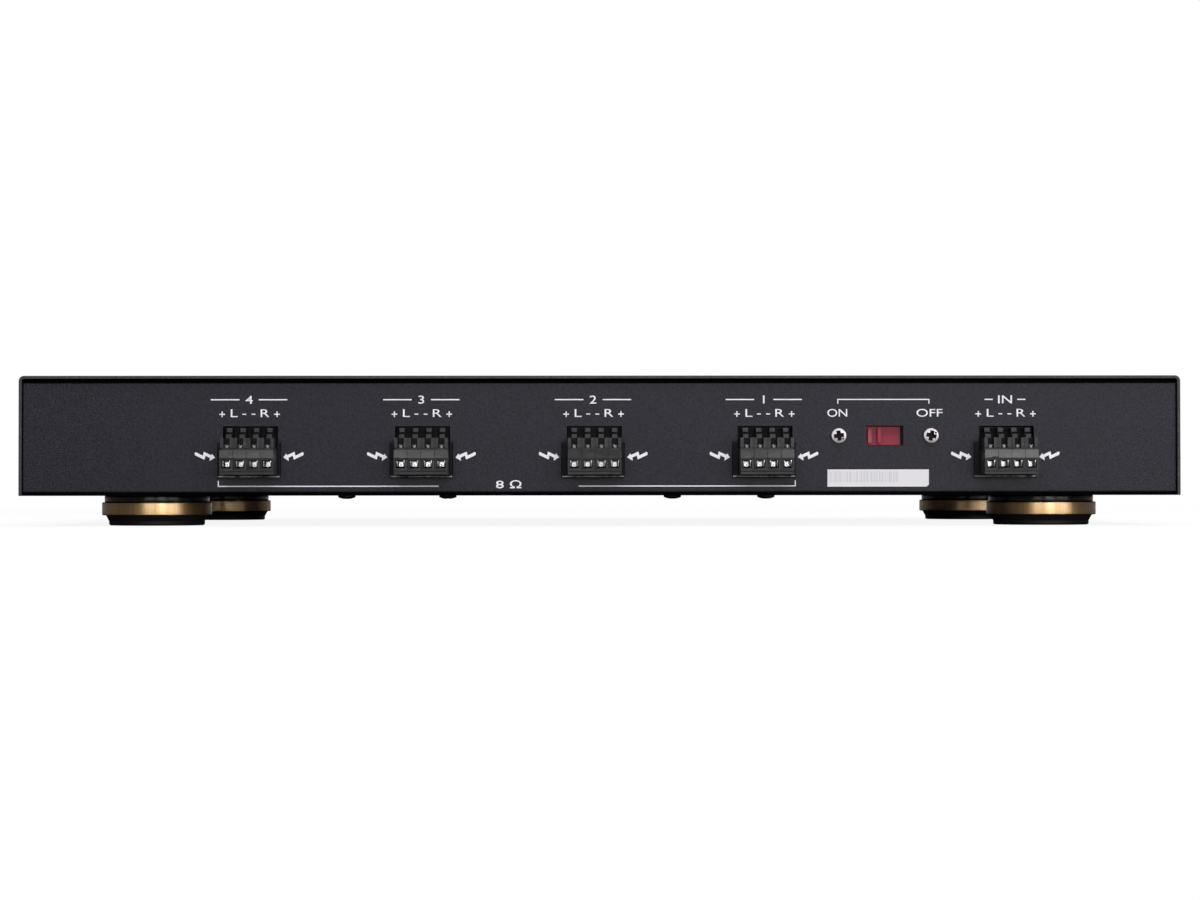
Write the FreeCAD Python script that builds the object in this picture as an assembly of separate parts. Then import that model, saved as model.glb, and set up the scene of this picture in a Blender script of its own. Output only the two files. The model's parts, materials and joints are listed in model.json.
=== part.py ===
import FreeCAD, Part
import math
import os

# Speaker selector: one stereo input and four switched outputs, each with a stepped volume control.
# Millimetres. Facing the terminal side, which looks along -Y, +X is to the right and +Z is up; the knobs are
# on the +Y side. The origin is on the surface that the feet stand on, under the middle of the whole object.
# Threads are left out. Screws' shanks and their holes are drawn six-sided, and small round heads twelve-sided.
# What is soldered to a board ends on its face, without its tails and holes.

os.makedirs("parts", exist_ok=True)

# ---- case ----
case_width = 432.0
case_height = 44.6          # cover and pan, without the feet
case_depth = 285.0          # cover, from its rear edge to the back of the front panel
sheet = 1.2                 # steel of the cover and of the pan
past = 1.0                  # how far a cutting tool reaches past the faces that it goes through
bend_radius = 2.0           # outside radius of each fold
cover_side_gap = 0.3        # pan to cover, at each side
cover_top_gap = 0.2         # pan to cover, at the top
rear_recess = 1.5           # terminal panel behind the cover's rear edge
side_flange = 12.0          # pan's flange behind each side of the cover
return_flange = 9.0         # flange at the top of the pan's two upright panels
corner_relief = 3.0         # notch between neighbouring flanges
cover_screw_height = 7.0    # above the underside
cover_screw_insets = (60.0, 225.0)
cover_screw_length = 5.0    # under its head

# ---- front panel ----
panel_thickness = 4.0
panel_chamfer = 0.6
panel_screw_inset = 16.0    # outer screws from the case's sides
panel_screw_height = 9.0    # above the underside
panel_thread_depth = 2.6

# ---- feet: a spacer, a disc and a pad on one screw each ----
foot_height = 11.4
foot_side_inset = 45.0      # from the case's sides
rear_foot_inset = 43.3      # from the cover's rear edge
front_foot_inset = 32.0     # from the front panel's back
spacer_radius = 20.0
spacer_height = 2.5
disc_radius = 21.0
disc_height = 5.0
pad_top_radius = 19.5
pad_radius = 18.3
pad_taper = 2.2             # height of the pad's upper, tapered part
foot_thread_depth = 3.6     # into the disc

# ---- fasteners ----
m3_thread = 3.0
m3_flats = 5.5
m3_head_height = 2.0
pan_head_size = 5.6
pan_head_height = 1.9
low_head_size = 6.8
low_head_height = 1.4
m4_thread = 4.0
m4_flats = 7.0
m4_head_height = 2.8
thread_gap = 0.05           # shank to the thread that it fits
hole_gap = 0.2              # shank to the clearance hole that it passes
screw_end_gap = 0.3         # screw's end to what lies past it

# ---- main board ----
board_rise = 6.6            # board's upper face above the underside
board_thickness = 1.6
board_side_gap = 14.5       # board to the pan's sides
board_edge_gap = 0.8        # board's ends to what they face
standoff_flats = 6.0
rear_standoff_x = (-98.7, -59.2, 28.6, 65.2)
rear_standoff_inset = 51.5          # from the board's rear edge
front_standoff_side_inset = 10.0    # outer ones from the board's sides
front_standoff_inset = 21.4         # from the board's front edge

# ---- pluggable terminals ----
terminal_x = {"4": -130.7, "3": -66.7, "2": -2.8, "1": 60.8, "input": 150.8}
poles = 4
pole_pitch = 5.0
header_width = 23.1
header_wall_height = 12.9
header_floor = 1.0
header_back = 2.4
header_depth = 12.4
header_proud = 0.4          # header's rim in front of the panel
hood_height = 19.0
hood_thickness = 1.2
cutout_gap = 0.15           # header to the panel
plug_width = 19.8
plug_shift = 0.5            # plug's middle from the header's, toward +X
plug_gap = 0.15             # round the plug in its header
plug_reach = 13.0           # plug's face in front of the panel
plug_seat_gap = 0.4         # plug's end to the header's back wall
lip_top = 1.65
lip_setback = 0.3
ledge_bottom = 2.25
groove_depth = 0.7
brow_bottom = 6.45
brow_top = 7.2
band_top = 10.2
plug_body_top = 10.6
tower_bottom = 11.0
tower_top = 14.7
tower_setback = 1.6         # tower's face behind the plug's face
tower_depth = 6.0
well_width = 2.3            # slot for the screwdriver over each pole
well_depth = 4.3            # back from the tower's face
well_wall = 1.0
well_bottom = 7.7
fin_width = 2.0
fin_setbacks = (8.6, 11.2)  # steps behind the plug's face
fin_tops = (16.1, 18.5)
fin_bottom = 14.4           # underside of the lowest step
fin_stem_setback = 12.6     # stem under the steps, behind the plug's face
fin_undercut = 1.8
fin_undercut_height = 0.9
fin_tail = 2.6              # fins' ends behind the panel's face
hood_gap = 0.3              # fins' ends to the hood
wire_hole_width = 3.3
wire_hole_height = 2.95
wire_hole_depth = 7.0
cage_width = 2.9
cage_height = 2.4
cage_wall = 0.4
cage_setback = 1.0
cage_depth = 4.6
jaw_width = 1.8             # plate that closes the cage's back
jaw_height = 1.9
jaw_thickness = 0.7
tongue_width = 1.0          # of the strip that runs from the cage back over the pin
tongue_thickness = 0.4
pin_size = 1.0
pin_length = 7.0            # in front of the header's back wall
pin_gap = 0.15
pin_bend_gap = 0.5          # header's back to the pin's upright leg

# ---- protection switch ----
slide_x = 105.9
slide_height = 22.2         # above the underside
window_width = 13.8
window_height = 7.3
frame_window_width = 13.1
frame_window_height = 6.9
frame_window_shift = -0.3
frame_length = 41.0
frame_height = 11.0
frame_thickness = 1.0
slide_screw_spacing = 34.4
slide_screw_length = 5.0
base_height = 10.4
base_depth = 9.0
base_wall = 1.1
slider_plate = 1.4
slider_travel = 6.8
slider_lap = 0.4            # slider's plate past the window at the ends of its travel
slider_gap = 0.15
rib_width = 1.4
rib_length = 5.8
rib_rise = 1.6
rib_pitch = 3.55
rib_corner = 0.4
tab_pitch = 5.0
tab_width = 1.2
tab_thickness = 0.5
tab_inset = 2.5             # from the base's back

# ---- controls on the knob side ----
zones = ("1", "2", "3", "4")
outer_zone_inset = 66.0     # outer knobs from the case's sides
knob_height = 22.3          # knob's axis above the underside
knob_flats = 24.0
knob_sides = 24
knob_length = 16.0
knob_gap = 0.8              # knob to the front panel
knob_edge = 1.2
knob_bore_depth = 12.0
shaft_radius = 3.0
shaft_flat = 1.5            # axis to the flat of the D
shaft_running_gap = 0.05
shaft_fit_gap = 0.03
shaft_end_gap = 0.5
shaft_depth = 15.0          # shaft inside the switch
bushing_flats = 9.0
bushing_length = 2.6        # in front of the pan's panel
shaft_nut_flats = 12.0
shaft_nut_height = 2.0
panel_hole_flats = 16.0
rotary_size = 26.0
rotary_plate = 2.0
rotary_depth = 22.0
wafer_size = 24.0
wafer_corner = 6.0
button_offset = 30.0        # button's middle from the knob's, toward +X
button_size = 10.0
button_corner = 1.5
button_proud = 4.5
button_travel = 3.0
button_gap = 0.25
stem_size = 5.0
stem_hole_depth = 12.0
stem_end_gap = 0.5
push_switch_size = 14.0
push_switch_gap = 0.5       # switch to the pan's panel
front_board_rise = 2.0      # above the main board
front_board_height = 28.0
link_pin_pitch = 2.54
link_pin_size = 0.64
link_pin_count = 2
link_pin_inset = 3.0        # from the main board's edge
link_pin_rise = 5.0

# ---- volume autoformers and load resistors ----
core_width = 41.0
core_thickness = 14.0
core_top_gap = 3.8          # cores to the cover
core_limb = 7.0
core_row_insets = (112.0, 186.0)
coil_depth = 30.0
coil_corner = 3.5
coil_gap = 0.3
resistor_length = 22.0
resistor_side = 9.0
resistor_rise = 2.0
resistor_pitch = 13.0
resistor_count = 4
resistor_first_x = 96.0
resistor_inset = 62.0
lead_size = 0.8
lead_inset = 3.0

# ---- levels, planes and places that follow from these ----
underside = foot_height
top = underside + case_height
pan_width = case_width - 2 * (sheet + cover_side_gap)
pan_top = top - sheet - cover_top_gap
pan_floor = underside + sheet
board_top = underside + board_rise
board_bottom = board_top - board_thickness
slide_z = underside + slide_height
knob_z = underside + knob_height
core_height = top - sheet - core_top_gap - board_top

overall_depth = plug_reach - rear_recess + case_depth + panel_thickness + knob_gap + knob_length
rear_edge = plug_reach - rear_recess - overall_depth / 2
rear_face = rear_edge + rear_recess
panel_back = rear_edge + case_depth
panel_face = panel_back + panel_thickness
support_face = panel_back - sheet       # inner side of the pan's panel behind the front panel
board_rear = rear_face + sheet + board_edge_gap
front_board_face = support_face - rotary_depth
front_board_back = front_board_face - board_thickness
board_front = front_board_back - board_edge_gap
knob_back = panel_face + knob_gap

foot_x = case_width / 2 - foot_side_inset
foot_rows = (rear_edge + rear_foot_inset, panel_back - front_foot_inset)
foot_places = [(x, y) for x in (-foot_x, foot_x) for y in foot_rows]
zone_pitch = (case_width - 2 * outer_zone_inset) / (len(zones) - 1)
zone_x = {name: case_width / 2 - outer_zone_inset - zone_pitch * i for i, name in enumerate(zones)}
panel_screw_x = (panel_screw_inset - case_width / 2, 0.0, case_width / 2 - panel_screw_inset)
board_width = pan_width - 2 * board_side_gap
outer_standoff_x = board_width / 2 - front_standoff_side_inset
front_standoff_x = (-outer_standoff_x, 0.0, outer_standoff_x)
rear_standoffs = [(x, board_rear + rear_standoff_inset) for x in rear_standoff_x]
front_standoffs = [(x, board_front - front_standoff_inset) for x in front_standoff_x]
cover_screw_places = [(side, rear_edge + inset) for side in (-1, 1) for inset in cover_screw_insets]
slide_screw_x = (slide_x - slide_screw_spacing / 2, slide_x + slide_screw_spacing / 2)


# ---- shapes ----
def vec(x, y, z):
    return FreeCAD.Vector(x, y, z)


def block(x0, x1, y0, y1, z0, z1):
    return Part.makeBox(x1 - x0, y1 - y0, z1 - z0, vec(x0, y0, z0))


def rod(radius, start, direction, length):
    return Part.makeCylinder(radius, length, vec(*start), vec(*direction))


def bar(sides, flats, start, direction, length):
    """Regular bar, `flats` across its sides, whose axis runs from `start` along a main direction."""
    along = vec(*direction)
    corner = flats / 2 / math.cos(math.pi / sides)
    across = vec(direction[2], direction[0], direction[1]) * corner
    upward = along.cross(across)
    turns = [math.pi * (2 * i + 1) / sides for i in range(sides)]
    ring = [vec(*start) + across * math.cos(turn) + upward * math.sin(turn) for turn in turns]
    return Part.Face(Part.makePolygon(ring + ring[:1])).extrude(along * length)


def in_xy(u, v):
    return vec(u, v, 0)


def in_xz(u, v):
    return vec(u, 0, v)


def in_yz(u, v):
    return vec(0, u, v)


def prism(points, lift, move, depth):
    """Straight-sided outline, set at `move` and drawn out along `depth`."""
    corners = [lift(*p) + move for p in points]
    return Part.Face(Part.makePolygon(corners + corners[:1])).extrude(depth)


def cut_corners(width, height, corner):
    """Outline of a rectangle about the origin, with its corners cut off."""
    a, b = width / 2, height / 2
    c, d = a - corner, b - corner
    return [(-a, -d), (-c, -b), (c, -b), (a, -d), (a, d), (c, b), (-c, b), (-a, d)]


def fused(shapes):
    return shapes[0].multiFuse(shapes[1:]).removeSplitter()


def cut(shape, tools):
    return shape.cut(Part.makeCompound(tools))


def save(node, shapes):
    Part.makeCompound(shapes).exportStep("parts/%s.step" % node)


# ---- screws ----
def screw(head, thread, seat, direction, length):
    """Head, and the shank that runs from `seat` along `direction`."""
    return fused([head, bar(6, thread, seat, direction, length)])


def hex_screw(thread, flats, head_height, seat, direction, length):
    back = tuple(-c for c in direction)
    return screw(bar(6, flats, seat, back, head_height), thread, seat, direction, length)


def round_screw(thread, head_size, head_height, seat, direction, length):
    back = tuple(-c for c in direction)
    return screw(bar(12, head_size, seat, back, head_height), thread, seat, direction, length)


# ---- folded sheet ----
def unit(v):
    return v * (1 / v.Length)


def offset_path(points, distance):
    """The path moved to its left by `distance`, with mitred corners."""
    steps = [unit(b - a) for a, b in zip(points, points[1:])]
    sides = [vec(-s.y, s.x, 0) for s in steps]
    moved = [points[0] + sides[0] * distance]
    for i in range(1, len(points) - 1):
        both = sides[i - 1] + sides[i]
        moved.append(points[i] + both * (distance / (1 + sides[i - 1].dot(sides[i]))))
    return moved + [points[-1] + sides[-1] * distance]


def rounded_edges(points, radius, lift):
    """Edges along the path, each corner turned with an arc."""
    edges = []
    start = points[0]
    for before, corner, after in zip(points, points[1:], points[2:]):
        d_in = unit(corner - before)
        d_out = unit(after - corner)
        half_turn = d_in.getAngle(d_out) / 2
        run = radius * math.tan(half_turn)
        inward = unit(d_out - d_in)
        centre = corner + inward * (radius / math.cos(half_turn))
        first, middle, last = corner - d_in * run, centre - inward * radius, corner + d_out * run
        edges.append(Part.LineSegment(lift(start.x, start.y), lift(first.x, first.y)).toShape())
        edges.append(Part.Arc(*[lift(p.x, p.y) for p in (first, middle, last)]).toShape())
        start = last
    end = points[-1]
    return edges + [Part.LineSegment(lift(start.x, start.y), lift(end.x, end.y)).toShape()]


def folded_sheet(points, lift, left, move, depth):
    """Sheet whose outer side follows `points`; `left` is 1 if it lies on their left and -1 on their right."""
    path = [vec(u, v, 0) for u, v in points]
    inner = offset_path(path, left * sheet)
    edges = rounded_edges(path, bend_radius, lift) + rounded_edges(inner, bend_radius - sheet, lift)
    for i in (0, -1):
        edges.append(Part.LineSegment(lift(path[i].x, path[i].y), lift(inner[i].x, inner[i].y)).toShape())
    return Part.Face(Part.Wire(Part.__sortEdges__(edges))).translated(move).extrude(depth)


# ---- case ----
def chassis_pan():
    """Bottom, terminal panel and front panel support, folded from one sheet with side flanges."""
    half = pan_width / 2
    profile = [
        (rear_face + return_flange, pan_top),
        (rear_face, pan_top),
        (rear_face, underside),
        (panel_back, underside),
        (panel_back, pan_top),
        (panel_back - return_flange, pan_top),
    ]
    pan = folded_sheet(profile, in_yz, 1, vec(-half, 0, 0), vec(pan_width, 0, 0))
    start = rear_face + corner_relief
    end = panel_back - corner_relief
    strip = corner_relief + bend_radius
    for side in (-1, 1):
        x0, x1 = sorted((side * (half - strip), side * half))
        pan = pan.cut(block(x0, x1, rear_face + bend_radius, panel_back - bend_radius, underside, pan_floor))
        corner = (side * half, underside)
        points = [(side * (half - strip), underside), corner, (side * half, underside + side_flange)]
        pan = pan.fuse(folded_sheet(points, in_xz, side, vec(0, start, 0), vec(0, end - start, 0)))
    return cut(pan.removeSplitter(), terminal_panel_holes() + bottom_holes() + support_holes())


def terminal_panel_holes():
    through = sheet + 2 * past
    holes = [terminal_cutout(name) for name in terminal_x]
    holes.append(slide_block(window_width, window_height, 0, rear_face - past, through))
    for x in slide_screw_x:
        holes.append(bar(6, m3_thread + 2 * hole_gap, (x, rear_face - past, slide_z), (0, 1, 0), through))
    return holes


def bottom_holes():
    through = sheet + 2 * past
    holes = []
    for size, places in (
        (m3_thread + 2 * hole_gap, rear_standoffs),
        (standoff_flats, front_standoffs),
        (m4_thread + 2 * hole_gap, foot_places),
    ):
        holes += [bar(6, size, (x, y, underside - past), (0, 0, 1), through) for x, y in places]
    for side, y in cover_screw_places:
        start = (side * (pan_width / 2 + past), y, underside + cover_screw_height)
        holes.append(bar(6, m3_thread + 2 * thread_gap, start, (-side, 0, 0), through))
    return holes


def support_holes():
    through = sheet + 2 * past
    y = support_face - past
    holes = []
    for x in zone_x.values():
        holes.append(bar(8, bushing_flats + 2 * hole_gap, (x, y, knob_z), (0, 1, 0), through))
        holes.append(button_bar(x, stem_size + 2 * button_gap, 0, y, through))
    for x in panel_screw_x:
        start = (x, y, underside + panel_screw_height)
        holes.append(bar(6, m3_thread + 2 * hole_gap, start, (0, 1, 0), through))
    return holes


def top_cover():
    """Sheet folded over the top and down both sides."""
    half = case_width / 2
    points = [(-half, underside), (-half, top), (half, top), (half, underside)]
    cover = folded_sheet(points, in_xz, -1, vec(0, rear_edge, 0), vec(0, case_depth, 0))
    holes = []
    for side, y in cover_screw_places:
        start = (side * (half + past), y, underside + cover_screw_height)
        holes.append(bar(6, m3_thread + 2 * hole_gap, start, (-side, 0, 0), sheet + 2 * past))
    return cut(cover, holes)


def cover_screw(side, y):
    seat = (side * case_width / 2, y, underside + cover_screw_height)
    return round_screw(m3_thread, pan_head_size, pan_head_height, seat, (-side, 0, 0), cover_screw_length)


def front_panel():
    """Machined plate with openings for the knobs' nuts and the buttons, and blind threads in its back."""
    half = case_width / 2
    plate = block(-half, half, panel_back, panel_face, underside, top)
    front_edges = [e for e in plate.Edges if all(abs(v.Y - panel_face) < 1e-6 for v in e.Vertexes)]
    plate = plate.makeChamfer(panel_chamfer, front_edges)
    y = panel_back - past
    through = panel_thickness + 2 * past
    holes = []
    for x in zone_x.values():
        holes.append(bar(8, panel_hole_flats, (x, y, knob_z), (0, 1, 0), through))
        holes.append(button_bar(x, button_size + 2 * button_gap, button_corner, y, through))
    for x in panel_screw_x:
        start = (x, panel_back, underside + panel_screw_height)
        holes.append(bar(6, m3_thread + 2 * thread_gap, start, (0, 1, 0), panel_thread_depth))
    return cut(plate, holes)


def front_panel_screw(x):
    seat = (x, support_face, underside + panel_screw_height)
    length = sheet + panel_thread_depth - screw_end_gap
    return hex_screw(m3_thread, m3_flats, m3_head_height, seat, (0, 1, 0), length)


# ---- feet ----
spacer_bottom = underside - spacer_height
disc_bottom = spacer_bottom - disc_height


def foot_spacer(x, y):
    hole = bar(6, m4_thread + 2 * hole_gap, (x, y, spacer_bottom), (0, 0, 1), spacer_height)
    return rod(spacer_radius, (x, y, spacer_bottom), (0, 0, 1), spacer_height).cut(hole)


def foot_disc(x, y):
    """Turned disc with a blind thread in its top."""
    disc = rod(disc_radius, (x, y, disc_bottom), (0, 0, 1), disc_height)
    return disc.cut(bar(6, m4_thread + 2 * thread_gap, (x, y, spacer_bottom), (0, 0, -1), foot_thread_depth))


def foot_pad(x, y):
    """Rubber pad: a short cylinder that widens toward the disc."""
    step = disc_bottom - pad_taper
    sole = rod(pad_radius, (x, y, 0), (0, 0, 1), step)
    return fused([sole, Part.makeCone(pad_radius, pad_top_radius, pad_taper, vec(x, y, step))])


def foot_screw(x, y):
    """Screw from inside the pan, through the spacer, into the disc."""
    length = sheet + spacer_height + foot_thread_depth - screw_end_gap
    return hex_screw(m4_thread, m4_flats, m4_head_height, (x, y, pan_floor), (0, 0, -1), length)


# ---- main board ----
def main_board():
    half = board_width / 2
    board = block(-half, half, board_rear, board_front, board_bottom, board_top)
    return cut(board, [bar(6, m3_thread + 2 * hole_gap, (x, y, board_bottom), (0, 0, 1), board_thickness)
                       for x, y in rear_standoffs + front_standoffs])


def standoff(x, y, foot):
    """Six-sided threaded post from level `foot` up to the board."""
    post = bar(6, standoff_flats, (x, y, foot), (0, 0, 1), board_bottom - foot)
    return post.cut(bar(6, m3_thread + 2 * thread_gap, (x, y, foot), (0, 0, 1), board_bottom - foot))


half_post = (board_bottom - pan_floor) / 2 - screw_end_gap / 2


def base_screw(x, y):
    seat = (x, y, underside)
    return round_screw(m3_thread, low_head_size, low_head_height, seat, (0, 0, 1), sheet + half_post)


def board_screw(x, y):
    seat = (x, y, board_top)
    return hex_screw(m3_thread, m3_flats, m3_head_height, seat, (0, 0, -1), board_thickness + half_post)


# ---- pluggable terminals; `out` runs from the terminal panel toward the user, heights from the board ----
def out(distance):
    return rear_face - distance


def plug_x(name):
    return terminal_x[name] + plug_shift


def pole_places(name):
    first = plug_x(name) - pole_pitch * (poles - 1) / 2
    return [first + pole_pitch * i for i in range(poles)]


header_end = header_proud - header_depth
socket_end = header_end + header_back
socket_top = plug_body_top + plug_gap
hood_face = -fin_tail - hood_gap
plug_end = socket_end + plug_seat_gap
plug_bottom = header_floor + plug_gap
cage_top = brow_bottom - thread_gap
tongue_bottom = cage_top - tongue_thickness
pin_top = tongue_bottom - pin_gap
pin_bottom = pin_top - pin_size
pin_leg = out(header_end - pin_bend_gap - pin_size / 2)


def terminal_block(x0, x1, out0, out1, low, high):
    return block(x0, x1, out(out1), out(out0), board_top + low, board_top + high)


def terminal_cutout(name):
    """Stepped opening: wide for the header, narrower for the plug's tower and the hood."""
    inner = -sheet - past
    half = header_width / 2 + cutout_gap
    x = terminal_x[name]
    wide = terminal_block(x - half, x + half, inner, past, -cutout_gap, header_wall_height + cutout_gap)
    half = plug_width / 2 + 2 * plug_gap
    x = plug_x(name)
    return wide.fuse(terminal_block(x - half, x + half, inner, past, 0, hood_height + cutout_gap))


def terminal_header(name):
    """Open-ended socket: trough, roof behind the panel, and the hood that closes the cut-out over it."""
    x = terminal_x[name]
    half = header_width / 2
    left = plug_x(name) - plug_width / 2 - plug_gap
    right = plug_x(name) + plug_width / 2 + plug_gap
    shell = terminal_block(x - half, x + half, header_end, header_proud, 0, header_wall_height)
    hood = terminal_block(left, right, hood_face - hood_thickness, hood_face, socket_top, hood_height)
    tools = [
        terminal_block(left, right, socket_end, header_proud, header_floor, socket_top),
        terminal_block(left, right, hood_face, header_proud, socket_top, header_wall_height),
    ]
    reach = pin_size / 2
    for x in pole_places(name):
        tools.append(terminal_block(x - reach, x + reach, header_end, socket_end, pin_bottom, pin_top))
    return cut(shell.fuse(hood), tools).removeSplitter()


def header_pin(x):
    """Square pin, bent down to the board."""
    near, far = pin_leg - pin_size / 2, pin_leg + pin_size / 2
    low, high = board_top + pin_bottom, board_top + pin_top
    tip = out(socket_end + pin_length)
    points = [(tip, low), (tip, high), (far, high), (far, board_top), (near, board_top), (near, low)]
    return prism(points, in_yz, vec(x - pin_size / 2, 0, 0), vec(pin_size, 0, 0))


def plug_profile():
    """Side outline of the plug's housing as (out, height)."""
    face = plug_reach
    lip = face - lip_setback
    tower = face - tower_setback
    return [
        (plug_end, plug_bottom), (lip, plug_bottom), (lip, lip_top),
        (face - groove_depth, lip_top), (face - groove_depth, ledge_bottom), (face, ledge_bottom),
        (face, brow_bottom), (face - groove_depth, brow_bottom), (face - groove_depth, brow_top),
        (face, brow_top), (face, band_top), (tower - groove_depth, band_top),
        (tower - groove_depth, tower_bottom), (tower, tower_bottom), (tower, tower_top),
        (tower - tower_depth, tower_top), (tower - tower_depth, plug_body_top), (plug_end, plug_body_top),
    ]


def fin_profile():
    """Side outline of a pole's stepped fin: an upright stem, and steps that stand out over it."""
    steps = [plug_reach - setback for setback in fin_setbacks]
    stem = plug_reach - fin_stem_setback
    points = [(-fin_tail, plug_body_top), (stem, plug_body_top), (stem, fin_bottom), (steps[0], fin_bottom),
              (steps[0], fin_tops[0])]
    for step, low, high in zip(steps[1:], fin_tops, fin_tops[1:]):
        inner = step - fin_undercut
        step_low = low + fin_undercut_height
        points += [(inner, low), (inner, step_low), (step, step_low), (step, high)]
    return points + [(-fin_tail, fin_tops[-1])]


def side_prism(profile, x, width):
    points = [(out(o), board_top + h) for o, h in profile]
    return prism(points, in_yz, vec(x - width / 2, 0, 0), vec(width, 0, 0))


def pole_cuts(x):
    """What one pole takes out of the housing: wire hole, screwdriver slot and the pin's channel."""
    half = wire_hole_width / 2
    entry = terminal_block(x - half, x + half, plug_reach - wire_hole_depth, plug_reach,
                           brow_bottom - wire_hole_height, brow_bottom)
    tower = plug_reach - tower_setback
    back = tower - well_depth
    half = well_width / 2
    slot = terminal_block(x - half, x + half, back, plug_reach, tower_bottom, fin_tops[-1])
    well = terminal_block(x - half, x + half, back, tower - well_wall, well_bottom, tower_bottom)
    half = pin_size / 2 + pin_gap
    channel = terminal_block(x - half, x + half, plug_end, plug_reach - wire_hole_depth, pin_bottom - pin_gap,
                             cage_top)
    return [entry, slot.fuse(well), channel]


def terminal_plug(name):
    """Housing of the removable half."""
    housing = side_prism(plug_profile(), plug_x(name), plug_width)
    tools = [tool for x in pole_places(name) for tool in pole_cuts(x)]
    fins = [side_prism(fin_profile(), x, fin_width) for x in pole_places(name)]
    return fused([cut(housing, tools)] + fins)


def wire_clamp(x):
    """Cage that closes on the wire, with a jaw at its back and a tongue that runs from its roof over the pin."""
    a = cage_width / 2
    b = a - cage_wall
    low, roof, high = cage_top - cage_height, cage_top - cage_wall, cage_top
    arch = [(-a, low), (-a, high), (a, high), (a, low), (b, low), (b, roof), (-b, roof), (-b, low)]
    face = plug_reach - cage_setback
    cage = prism(arch, in_xz, vec(x, out(face), board_top), vec(0, cage_depth, 0))
    back = face - cage_depth
    half = jaw_width / 2
    jaw = terminal_block(x - half, x + half, back, back + jaw_thickness, roof - jaw_height, roof)
    half = tongue_width / 2
    tongue = terminal_block(x - half, x + half, plug_end, back, tongue_bottom, cage_top)
    return fused([cage, jaw, tongue])


# ---- protection switch ----
frame_face = rear_face + sheet
base_face = frame_face + frame_thickness
slider_length = frame_window_width + slider_travel + 2 * slider_lap
runway_length = slider_length + slider_travel + 2 * slider_gap
runway_height = base_height - 2 * base_wall
base_width = runway_length + 2 * base_wall
rest_shift = frame_window_shift - slider_travel / 2
tab_y = base_face + base_depth - tab_inset - tab_thickness / 2


def slide_block(width, height, shift, y, length):
    """Block on the switch's level, its middle moved by `shift` along X."""
    x = slide_x + shift
    return block(x - width / 2, x + width / 2, y, y + length, slide_z - height / 2, slide_z + height / 2)


def protection_switch_frame():
    """Flat mounting frame behind the panel, with a thread at each end."""
    y, thick = frame_face, frame_thickness
    plate = slide_block(frame_length, frame_height, 0, y, thick)
    holes = [slide_block(frame_window_width, frame_window_height, frame_window_shift, y, thick)]
    for x in slide_screw_x:
        holes.append(bar(6, m3_thread + 2 * thread_gap, (x, y, slide_z), (0, 1, 0), thick))
    return cut(plate, holes)


def protection_switch_base():
    """Moulded base; its runway is open toward the frame."""
    base = slide_block(base_width, base_height, frame_window_shift, base_face, base_depth)
    depth = slider_plate + 2 * slider_gap
    return base.cut(slide_block(runway_length, runway_height, frame_window_shift, base_face, depth))


def protection_slider():
    """Plate that fills the window at both ends of its travel, with two grip ribs."""
    y = base_face + slider_gap
    plate = slide_block(slider_length, runway_height - 2 * slider_gap, rest_shift, y, slider_plate)
    outline = cut_corners(rib_width, rib_length, rib_corner)
    ribs = []
    for side in (-1, 1):
        place = vec(slide_x + rest_shift + side * rib_pitch / 2, y - rib_rise, slide_z)
        ribs.append(prism(outline, in_xz, place, vec(0, rib_rise, 0)))
    return fused([plate] + ribs)


def protection_switch_screw(x):
    seat = (x, rear_face, slide_z)
    return round_screw(m3_thread, pan_head_size, pan_head_height, seat, (0, 1, 0), slide_screw_length)


def protection_switch_tabs():
    """Solder tabs from the base down to the board."""
    half = tab_width / 2
    low, high = board_top, slide_z - base_height / 2
    tabs = []
    for i in (-1, 0, 1):
        x = slide_x + frame_window_shift + i * tab_pitch
        tabs.append(block(x - half, x + half, tab_y, tab_y + tab_thickness, low, high))
    return tabs


# ---- controls on the knob side ----
def button_bar(x, size, corner, y, length):
    """Square bar on the axis of the button beside the knob at x, with its corners cut off if `corner` isn't 0."""
    middle = (x + button_offset, y, knob_z)
    if corner:
        return prism(cut_corners(size, size, corner), in_xz, vec(*middle), vec(0, length, 0))
    return bar(4, size, middle, (0, 1, 0), length)


def rotary_switch(x):
    """Stepped volume switch: mounting plate, wafer stack and threaded bushing, bored for its shaft."""
    plate = bar(4, rotary_size, (x, support_face, knob_z), (0, -1, 0), rotary_plate)
    place = vec(x, front_board_face, knob_z)
    stack = prism(cut_corners(wafer_size, wafer_size, wafer_corner), in_xz, place,
                  vec(0, rotary_depth - rotary_plate, 0))
    bushing = bar(8, bushing_flats, (x, support_face, knob_z), (0, 1, 0), sheet + bushing_length)
    start = support_face - shaft_depth - shaft_end_gap
    length = panel_back + bushing_length - start
    bore = rod(shaft_radius + shaft_running_gap, (x, start, knob_z), (0, 1, 0), length)
    return fused([plate, stack, bushing]).cut(bore)


def shaft_nut(x):
    seat = (x, panel_back, knob_z)
    nut = bar(6, shaft_nut_flats, seat, (0, 1, 0), shaft_nut_height)
    return nut.cut(bar(8, bushing_flats + 2 * thread_gap, seat, (0, 1, 0), shaft_nut_height))


def d_bar(radius, flat, x, start, length):
    """Round bar with one flat, on its lower side."""
    bar_round = rod(radius, (x, start, knob_z), (0, 1, 0), length)
    return bar_round.cut(block(x - radius, x + radius, start, start + length, knob_z - radius, knob_z - flat))


def volume_shaft(x):
    start = support_face - shaft_depth
    return d_bar(shaft_radius, shaft_flat, x, start, knob_back + knob_bore_depth - shaft_end_gap - start)


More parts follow.
